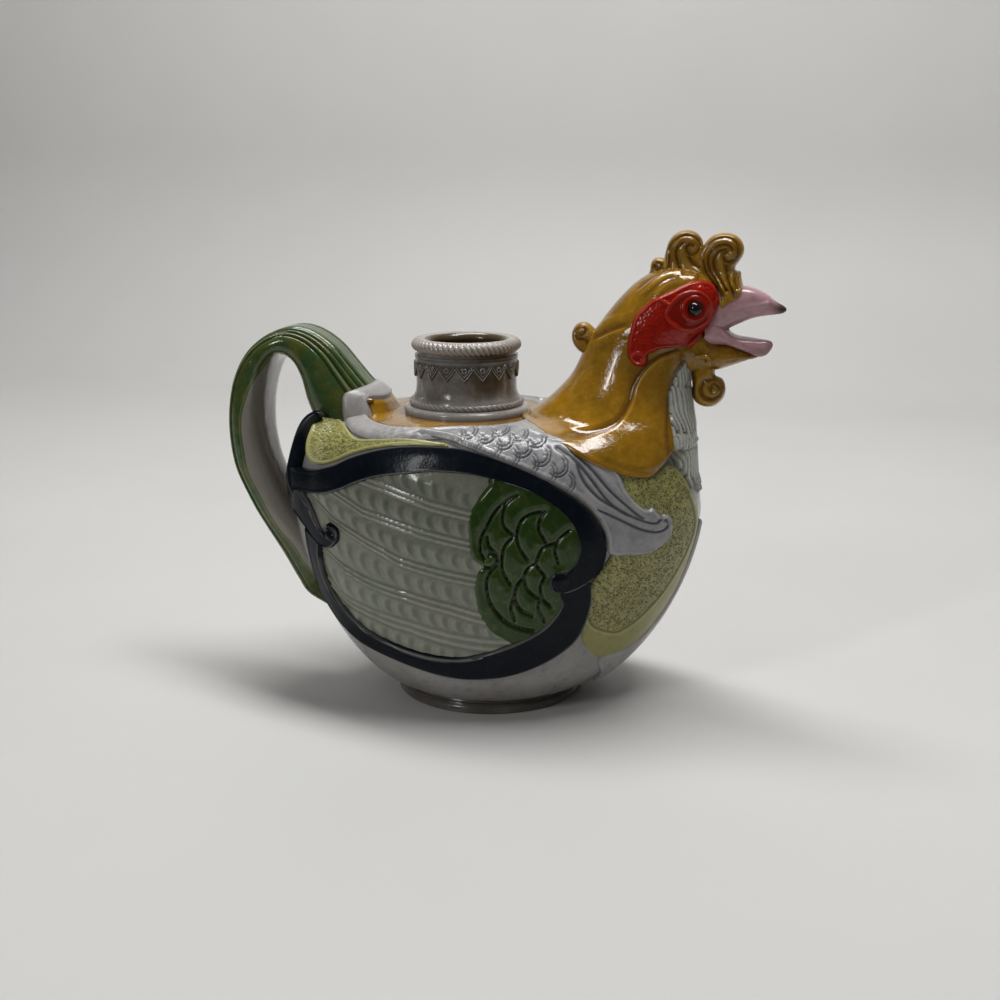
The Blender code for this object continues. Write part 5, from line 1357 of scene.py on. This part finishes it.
def makeBeak():
    look = beakLook
    whole, turn = lofted(look["upper"], 90, 64, look["square"])[:2]
    at = coords(whole)
    gap = nearLine(at[:, [0, 2]], curveThrough(look["ridge"], 40))[0]
    at[:, 1] += np.sign(at[:, 1]) * (look["ridgeHigh"] * ridge(gap, 1.5)) * (np.abs(at[:, 1]) > 1)
    setCoords(whole, at)
    worn = np.maximum(look["ridgeWorn"] * ridge(gap, 1.2), look["topWorn"] * fade(np.sin(turn), 0.7, 1))
    paint(whole, tint=look["tipDark"] * fade(at[:, 0], *look["tipFrom"]),
          pool=look["rootDark"] * fade(at[:, 0], *look["rootFrom"]), edge=worn)
    upperGround = Ground(whole.copy())
    # a dark ball set in the gape's corner: painted shade standing in for the shadowed crease of the mouth
    mouth = ball(*look["mouth"])
    paint(mouth, tint=1.0, pool=1.0)
    joinInto(whole, mouth)
    finishPiece("beak_top", whole, mauveGlaze, ["beak_upper"])

    bm, turn = lofted(look["lower"], 80, 56, look["square"])[:2]
    at = coords(bm)
    paint(bm, edge=look["lowerWorn"] * fade(np.sin(turn), 0.6, 1),
          tint=look["lowerTip"] * fade(at[:, 0], *look["lowerTipFrom"]),
          pool=look["lowerDark"] * fade(at[:, 2], *look["lowerFrom"]))
    finishPiece("beak_bottom", bm, mauveGlaze, ["beak_lower"])

    whole = lofted(look["chin"], 90, 72)[0]
    chinGround = Ground(whole.copy())
    at = coords(whole)
    whole.normal_update()
    fur = stipple(at * look["furLong"], look["furSize"], 5.0)
    bmesh.ops.recalc_face_normals(whole, faces=whole.faces)
    setCoords(whole, at + np.array([vert.normal[:] for vert in whole.verts]) * (look["fur"] * fur)[:, None])
    paint(whole, pool=look["furDark"] * np.clip(0.5 - fur, 0, 1))
    for way in (-1, 1):
        curl = tube(look["cheek"], look["cheekThick"], look["cheekWide"], 60, 14, 1)
        bmesh.ops.translate(curl, verts=curl.verts, vec=(0, way * look["cheekOut"], 0))
        joinInto(whole, curl)
    finishPiece("chin_ruff", whole, ochreGlaze, ["chin"])
    return upperGround, chinGround


combForm = {                                  # how the scrolls are pressed
    "step": 0.42, "round": 4.4, "cord": 2.4, "depth": 0.34, "sharpFrom": (207, 201),
    "taper": 0.24, "taperFrom": 110, "thin": 0.05, "dark": 0.42, "worn": 0.45}
combLook = {
    "comb_curl_front": {
        "name": "comb_front", "half": 5.2, "sharp": 0.7, "foot": (212, 203, 10.6),
        "outline": [(102.3, 224.2), (104.6, 226.8), (107.9, 228.5), (111.9, 229), (116, 228.1),
                    (118.9, 225.8), (120.4, 222.4), (120.1, 219), (118.5, 216.1), (116.9, 213.7),
                    (116.8, 212), (118.2, 211.6), (119.4, 211.4), (119.6, 209), (120.3, 206), (121, 203.2),
                    (120, 199.8), (117, 197.4), (114.6, 196), (112.3, 194.2), (110.2, 194.4), (109.3, 197.5),
                    (109.5, 201), (108.7, 203.2), (106, 205.4), (102.4, 207.8), (99.2, 211), (98.6, 216),
                    (100.5, 221)],
        "grooves": [
            [(110.5, 199), (107.5, 205.5), (104, 210.5), (102.9, 213.2), (101.6, 217.8), (102.6, 221.2),
             (104.8, 224.1), (108.2, 226.2), (112.2, 226.8), (115.6, 225.7), (117.4, 223.1), (117.6, 219.7),
             (116, 216.8), (113.1, 216.2), (111.3, 217.9), (111.5, 219.9), (113.2, 220.8)],
            [(111.5, 201), (108.5, 206.5), (105.2, 212.1), (104.2, 216.7), (105.2, 220.1), (107.7, 222.7),
             (110.5, 223.9), (113.4, 223.7), (115.5, 221.7)],
            [(113.5, 203), (111, 206.5), (108.7, 210.4), (106.8, 215), (107.3, 218.4), (109.5, 221),
             (112.3, 221.6)],
            [(112.6, 214.6), (113.3, 210.5), (113.8, 207), (116, 203), (117.5, 200.5)],
            [(117.4, 210.5), (116.8, 207.5), (118, 204)]]},
    "comb_curl_rear": {
        "name": "comb_rear", "half": 5.2, "foot": (216, 210, 6.6),
        "outline": [(82.6, 212), (83.4, 216.7), (84.2, 220.8), (85.5, 224.8), (88, 228), (91.7, 229.8),
                    (95.2, 230), (98.1, 229), (99.9, 227.3), (101.3, 224.8), (102, 220), (102.5, 215),
                    (104, 211), (102, 207.5), (96, 208), (87, 208.5)],
        "grooves": [
            [(86.2, 213), (86.2, 217), (86.1, 221), (87.8, 224.5), (90.9, 226.8), (94.3, 227.7),
             (97.2, 226.9), (99.6, 224.9), (100.3, 222.3), (98.6, 219.7), (96.3, 219.1), (94.5, 220.6),
             (94.2, 222.6), (95.6, 223.7), (97.3, 223.5)],
            [(91.5, 211.5), (90.7, 214.7), (89.4, 218.8), (89.9, 222.2), (92.1, 224.5)],
            [(95.2, 218.3), (97.6, 214.8), (100, 213.1), (102, 212)]]},
    "comb_nub": {
        "name": "comb_bud", "half": 4.2,
        "outline": [(76, 206), (76.9, 211.2), (77.4, 214.7), (79.1, 216.8), (82, 217.2), (84.4, 216),
                    (86.5, 212), (85, 206)],
        "grooves": [[(84, 210), (82.6, 213.4), (80.4, 214.6), (79.6, 212.6), (81, 211.8)]]},
    "nape_curl": {
        "name": "nape_scroll", "half": 4.4,
        "outline": [(50.4, 183.8), (46.7, 186.1), (42.5, 185), (40.2, 181.2), (40.2, 176.9), (42.1, 173.4),
                    (45.1, 171), (49, 170), (54, 171), (57, 177)],
        "grooves": [[(51, 173), (47.6, 177.9), (43.4, 178.4), (42.3, 181.3), (44.5, 183.8), (46.9, 182.6),
                     (46.3, 180.2), (44.5, 180.5)]]},
    "wattle_curl": {
        "name": "wattle_scroll", "half": 4.9,
        "outline": [(109.1, 162.5), (112.7, 160.5), (114.3, 156.1), (113.3, 151.2), (109.6, 147.5),
                    (104.9, 146.7), (100.7, 148.4), (98.5, 152.5), (98.5, 157), (98, 162), (98, 168),
                    (103, 171), (109, 167)],
        "grooves": [[(108.5, 165), (109.3, 161.5), (104.7, 159.8), (103, 156.2), (104.3, 152.6),
                     (108.5, 151.3), (111.9, 154.1), (111.5, 157.3), (109.1, 158.8), (107.4, 157.2),
                     (108.3, 155.5)]]}}


def plaque(look):                             # thick flat scroll, rounded and grooved alike on both faces
    form = combForm
    bm, flat, rim = outlinePatch(curveThrough(look["outline"], 240, closed=True), form["step"])
    gap = nearestOf(flat, [curveThrough(line, 80) for line in look["grooves"]])
    rounding = form["round"] * (1 - look.get("sharp", 0) * fade(flat[:, 1], *form["sharpFrom"]))
    brow, cord = roundOff(rim / rounding), roundOff(gap / form["cord"])
    half = np.full(len(flat), look["half"])
    if "foot" in look:
        top, low, wide = look["foot"]
        taper = form["taper"] * np.clip(flat[:, 0] - form["taperFrom"], 0, 20)
        half += (wide - taper - half) * fade(flat[:, 1], top, low)
    thick = np.maximum(half * brow * (1 - form["depth"] * (1 - cord)), form["thin"])
    paint(bm, pool=form["dark"] * (1 - fade(gap, 0.2, 1.7)),
          edge=form["worn"] * fade(gap, 1.2, 2.0) * fade(gap, 4.0, 2.4))
    ground = np.column_stack([flat[:, 0], np.zeros(len(flat)), flat[:, 1]])
    return raiseOn(bm, ground, np.tile((0.0, -1.0, 0.0), (len(flat), 1)), thick, -thick)


def makeComb():
    for node, look in combLook.items():
        finishPiece(look["name"], plaque(look), ochreGlaze, [node])


upperGround, chinGround = makeBeak()
makeComb()
print("Beak and comb made")


faceLook = {
    "step": 0.42, "lift": 1.2, "eye": (99.2, 195.4), "bead": 3.3, "ring": 4.9, "scroll": (74.2, 172.4),
    "edgeDrop": 0.8, "pebble": 0.18, "pebbleSize": 1.35, "rimBead": 0.4,
    "scrollRadius": 2.6, "scrollHigh": 0.7, "socket": 0.5, "lashHigh": 0.6, "pebbleDark": 0.4,
    "socketDark": 0.2, "rimWorn": 0.5, "lineWorn": 0.4, "eyeOut": 0.9, "beadWorn": 0.8,
    "lidStep": 0.36, "lidWide": 1.13, "lidFloor": 0.9, "lidHigh": 0.95, "ringHigh": 0.75, "lidDark": 0.45,
    "patch": [(110, 200), (109.8, 195.7), (107.5, 190), (104, 184), (98.3, 177), (92, 177.2), (84, 176.5),
              (80.8, 175.1), (78.5, 173.6), (78.7, 171.2), (77, 168.6), (73.4, 168.6), (70.5, 171.2),
              (69.2, 175.8), (70, 182.7), (72.1, 190.9), (76.6, 196), (81.1, 199.6), (87.9, 202.6),
              (93.4, 205.3), (98.3, 207.3), (103.3, 207.3), (107.2, 205.3)],
    "almond": [(86.6, 192.8), (89, 189), (93.5, 186.8), (98.5, 186.5), (102.8, 188.4), (105.6, 191.6),
               (106, 195.4), (104.3, 199.6), (100.8, 202.2), (96.4, 202.2), (92, 200.3), (88.7, 197)],
    "lash": [(88.7, 196.6), (86.5, 197.4), (84, 198.6)]}


def castSide(spots):
    return [((x, 0, z), (0, -1, 0)) for x, z in spots]


def makeFace():
    look = faceLook
    grounds = (neckGround, upperGround, chinGround)
    eye = np.array(look["eye"])
    almond = curveThrough(look["almond"], 120, closed=True)
    bm, flat, rim = outlinePatch(curveThrough(look["patch"], 220, closed=True), look["step"])
    pebble = stipple(np.column_stack([flat, np.zeros(len(flat))]), look["pebbleSize"], 2.0)
    socket = insideOutline(flat, almond)
    lid = nearLine(flat, almond)[0]
    clear = np.where(socket, 0, fade(lid, 0.3, 1.6))
    lash = nearLine(flat, curveThrough(look["lash"], 12))[0]
    scroll = np.hypot(flat[:, 0] - look["scroll"][0], flat[:, 1] - look["scroll"][1]) - look["scrollRadius"]
    height = look["lift"] - look["edgeDrop"] * (1 - fade(rim, 0, 1.3))
    height = height + look["pebble"] * pebble * clear * fade(rim, 1.5, 2.5)
    height = height + look["rimBead"] * ridge(rim - 1.4, 0.8)
    lines = look["scrollHigh"] * ridge(scroll, 0.8) - look["socket"] * socket
    height += lines + look["lashHigh"] * ridge(lash, 1.1)
    worn = look["rimWorn"] * ridge(rim - 1.3, 0.7)
    worn = worn + look["lineWorn"] * ridge(scroll, 0.8) + look["lineWorn"] * ridge(lash, 0.8)
    hollows = look["pebbleDark"] * np.clip(0.5 - pebble, 0, 1) * clear
    paint(bm, pool=np.maximum(hollows, look["socketDark"] * socket), edge=worn)
    raisePanel(bm, castSide(flat), height, grounds)
    bothSides("face_patch_pebbled", bm, redGlaze, "face_patch")

    middle = almond.mean(axis=0)
    bm, flat, rim = outlinePatch(middle + (almond - middle) * look["lidWide"], look["lidStep"])
    lid, ring = nearLine(flat, almond)[0], np.hypot(*(flat - eye).T) - look["ring"]
    lids = np.maximum(look["lidHigh"] * ridge(lid, 1.2), look["ringHigh"] * ridge(ring, 1.2))
    paint(bm, pool=look["lidDark"] * fade(lids, 0.4, 0.05) * fade(rim, 0.4, 1.2),
          edge=look["lineWorn"] * fade(lids, 0.55, 0.95))
    raisePanel(bm, castSide(flat), look["lidFloor"] + lids, grounds)
    bothSides("eyelid_ridged", bm, redGlaze, "eyelid")

    spot, normal = neckGround.hit(Vector((eye[0], 0, eye[1])), Vector((0, -1, 0)))[:2]
    bead = ball(spot + normal * look["eyeOut"], (look["bead"],) * 3, 32, 20)
    at = coords(bead) - np.array(spot)
    paint(bead, edge=look["beadWorn"] * fade(at @ np.array(normal[:]), look["eyeOut"], 0.3))
    bothSides("eye_bead", bead, blackGlaze, "eye")


makeFace()
print("Face made")


# Bib: three tiers of pointed locks under the throat
bibLook = {
    "axis": 60, "size": 37, "step": 0.45, "strand": 2.7, "lift": 0.7, "outside": 90, "spread": 0.12,
    "wave": 1.1, "shortest": 0.5, "longest": 9, "rise": 1.0, "lockHigh": 0.5,
    "gapDark": 0.55, "endDark": 0.3, "worn": 0.6,
    "fillArc": 25, "fillFrom": 114, "fillTo": 152, "fillFade": (23, 13),
    "tiers": {"top": [(0, 177), (5, 175), (9.9, 170.5), (16, 164), (19.5, 156.5), (20.3, 154), (14, 152),
                      (7, 151.3), (0, 151)],
              "middle": [(0, 158), (10, 158), (19, 158.5), (21.5, 148), (23, 141), (23.8, 134), (23, 130.5),
                         (12, 128.3), (0, 127.5)],
              "bottom": [(0, 136), (12, 136.5), (23, 137), (23.4, 128), (20.5, 118), (15, 109), (8, 104),
                         (0, 102)]}}


def castBib(spots):                           # level rays from outside in to the neck's axis
    look = bibLook
    ways = [Vector((cos(arc / look["size"]), -sin(arc / look["size"]), 0)) for arc, z in spots]
    far = look["outside"]
    return [(Vector((look["axis"], 0, z)) + way * far, -way) for way, (arc, z) in zip(ways, spots)]


def bibFill():                                # how far the hollow under the throat is filled
    look = bibLook
    arcs = np.linspace(0, look["fillArc"], look["fillArc"] + 1)
    levels = np.linspace(look["fillFrom"], look["fillTo"], look["fillTo"] - look["fillFrom"] + 1)
    spots = [(arc, z) for arc in arcs for z in levels]
    ground = drape(castBib(spots), (bodyGround, capeGround), min)[0]
    reach = np.hypot(ground[:, 0] - look["axis"], ground[:, 1]).reshape(len(arcs), len(levels))
    full = reach.copy()
    for k in range(len(levels) - 1):
        for n in range(k + 1, len(levels)):   # a straight line between any two heights
            line = reach[:, k:k + 1] + (reach[:, n:n + 1] - reach[:, k:k + 1]) * np.linspace(0, 1, n - k + 1)
            full[:, k:n + 1] = np.maximum(full[:, k:n + 1], line)
    fill = (full - reach) * fade(arcs, *look["fillFade"])[:, None]

    def at(arc, z):                           # between the four nearest values
        a, b = np.clip(np.abs(arc), 0, len(arcs) - 1.01), np.clip(z - levels[0], 0, len(levels) - 1.01)
        i, j = a.astype(int), b.astype(int)
        a, b = a - i, b - j
        low = fill[i, j] * (1 - a) + fill[i + 1, j] * a
        high = fill[i, j + 1] * (1 - a) + fill[i + 1, j + 1] * a
        return low * (1 - b) + high * b
    return at


def makeBib():
    look = bibLook
    fillAt = bibFill()
    for k, (key, half) in enumerate(look["tiers"].items()):
        half = np.array(half, float)
        bm, flat, rim = outlinePatch(halfToWhole(half, 180, (-1, 1)), look["step"])
        arc, z = flat.T
        low, high = z.min(), z.max()
        wave = arc * (1 + look["spread"] * (high - z) / (high - low)) + look["wave"] * grain(flat, 13, k)
        part = wave / look["strand"] + 50
        chance = (np.sin(np.floor(part) * 12.9 + k * 7.3) * 437.5) % 1      # each lock's length and fullness
        strand = np.abs(np.sin(part * pi))
        under = np.interp(np.abs(arc), half[::-1][:4, 0], half[::-1][:4, 1])
        point = under + look["shortest"] + look["longest"] * chance
        shown = fade(strand - 1 + fade(z, point - 1, point + 7), -0.05, 0.12)
        lock = look["lockHigh"] * (1 + chance) * (strand ** 0.7 - 0.6)
        height = look["rise"] + look["lift"] * fade(z, high, high - 3) + lock
        height = -bedDepth + shown * height * fade(rim, 0, 0.9)
        paint(bm, pool=look["gapDark"] * fade(strand, 0.5, 0.1) + look["endDark"] * (1 - shown),
              edge=look["worn"] * fade(strand, 0.7, 1) * (0.4 + 0.6 * chance))
        rays = castBib(flat)
        ground = drape(rays, (bodyGround, capeGround), min)[0]
        outward = -np.array([way[:] for start, way in rays])
        raiseOn(bm, ground, outward, height + fillAt(arc, z), -bedDepth)
        finishPiece("bib_" + key, bm, bibGlaze, ["bib_tier_" + key])


makeBib()
print("Bib made")


# Studio: pale sweep, soft light from above, camera at the photograph's angle
studio = {
    "paper": (0.585, 0.58, 0.566), "front": -320, "depth": 1100, "bend": 260, "bendSteps": 12,
    "wide": 3000, "tall": 1800,
    "lamps": {                                # place and aim in mm, size in m, watts
        "ceiling_light": ((60, 120, 1300), (0, 0, 80), (1.3, 0.28), 18.5),
        "fill_light": ((-700, -1100, 700), (0, 0, 90), (0.1, 0.5), 4.2),
        "wall_light": ((0, 500, 1400), (0, 1100, 1210), (1.6, 0.3), 8)},
    "air": (1, 0.99, 0.97), "airStrength": 0.09}


def makeStudio():
    look = studio
    bm = bmesh.new()
    flatEnd = look["depth"] - look["bend"]
    path = [(look["front"], 0), (flatEnd, 0)]
    for k in range(1, look["bendSteps"] + 1):
        angle = radians(90 * k / look["bendSteps"])
        path.append((flatEnd + look["bend"] * sin(angle), look["bend"] * (1 - cos(angle))))
    path.append((look["depth"], look["tall"]))
    verts = [bm.verts.new((-look["wide"] / 2, y, z)) for y, z in path]
    edges = [bm.edges.new(pair) for pair in zip(verts, verts[1:])]
    made = bmesh.ops.extrude_edge_only(bm, edges=edges)
    far = [item for item in made["geom"] if isinstance(item, bmesh.types.BMVert)]
    bmesh.ops.translate(bm, verts=far, vec=(look["wide"], 0, 0))
    bmesh.ops.transform(bm, matrix=toFrame, verts=bm.verts)
    mesh = bpy.data.meshes.new("paper_sweep")
    bm.to_mesh(mesh)
    bm.free()
    mesh.shade_smooth()
    paper = Finish("paper")
    tone = paper.ramp(paper.spots(6, 2.0), (0.3, (0.97, 0.97, 0.97)), (0.7, (1.0, 1.0, 1.0)))
    paper.put(paper.shader.inputs["Base Color"], paper.blend(look["paper"], tone, 1.0, "MULTIPLY"))
    paper.shader.inputs["Roughness"].default_value = 0.6
    mesh.materials.append(paper.material)
    sweep = bpy.data.objects.new("paper_sweep", mesh)
    bpy.context.scene.collection.objects.link(sweep)

    for name, (spot, aim, size, power) in look["lamps"].items():
        light = bpy.data.lights.new(name, "AREA")
        light.shape, light.size, light.size_y, light.energy = "RECTANGLE", size[0], size[1], power
        lamp = bpy.data.objects.new(name, light)
        lamp.location = toFrame @ Vector(spot)
        lamp.rotation_euler = (Vector(aim) - Vector(spot)).to_track_quat("-Z", "Y").to_euler()
        bpy.context.scene.collection.objects.link(lamp)

    world = bpy.data.worlds.new("room")
    bpy.context.scene.world = world
    world.use_nodes = True
    air = world.node_tree.nodes["Background"].inputs
    air["Color"].default_value = (*look["air"], 1)
    air["Strength"].default_value = look["airStrength"]


def makeCamera():
    look = {"spot": (139.2, -691.6, 269.1), "turn": 11, "dip": 13.8, "lens": 52.2, "film": 36,
            "nearest": 0.01}
    lens = bpy.data.cameras.new("camera")
    lens.lens, lens.sensor_width, lens.clip_start = look["lens"], look["film"], look["nearest"]
    camera = bpy.data.objects.new("camera", lens)
    camera.location = toFrame @ Vector(look["spot"])
    camera.rotation_euler = (radians(90 - look["dip"]), 0, radians(look["turn"]))
    bpy.context.scene.collection.objects.link(camera)
    bpy.context.scene.camera = camera


makeStudio()
makeCamera()
bpy.context.scene.view_settings.view_transform = "Standard"
print("Studio and camera set")
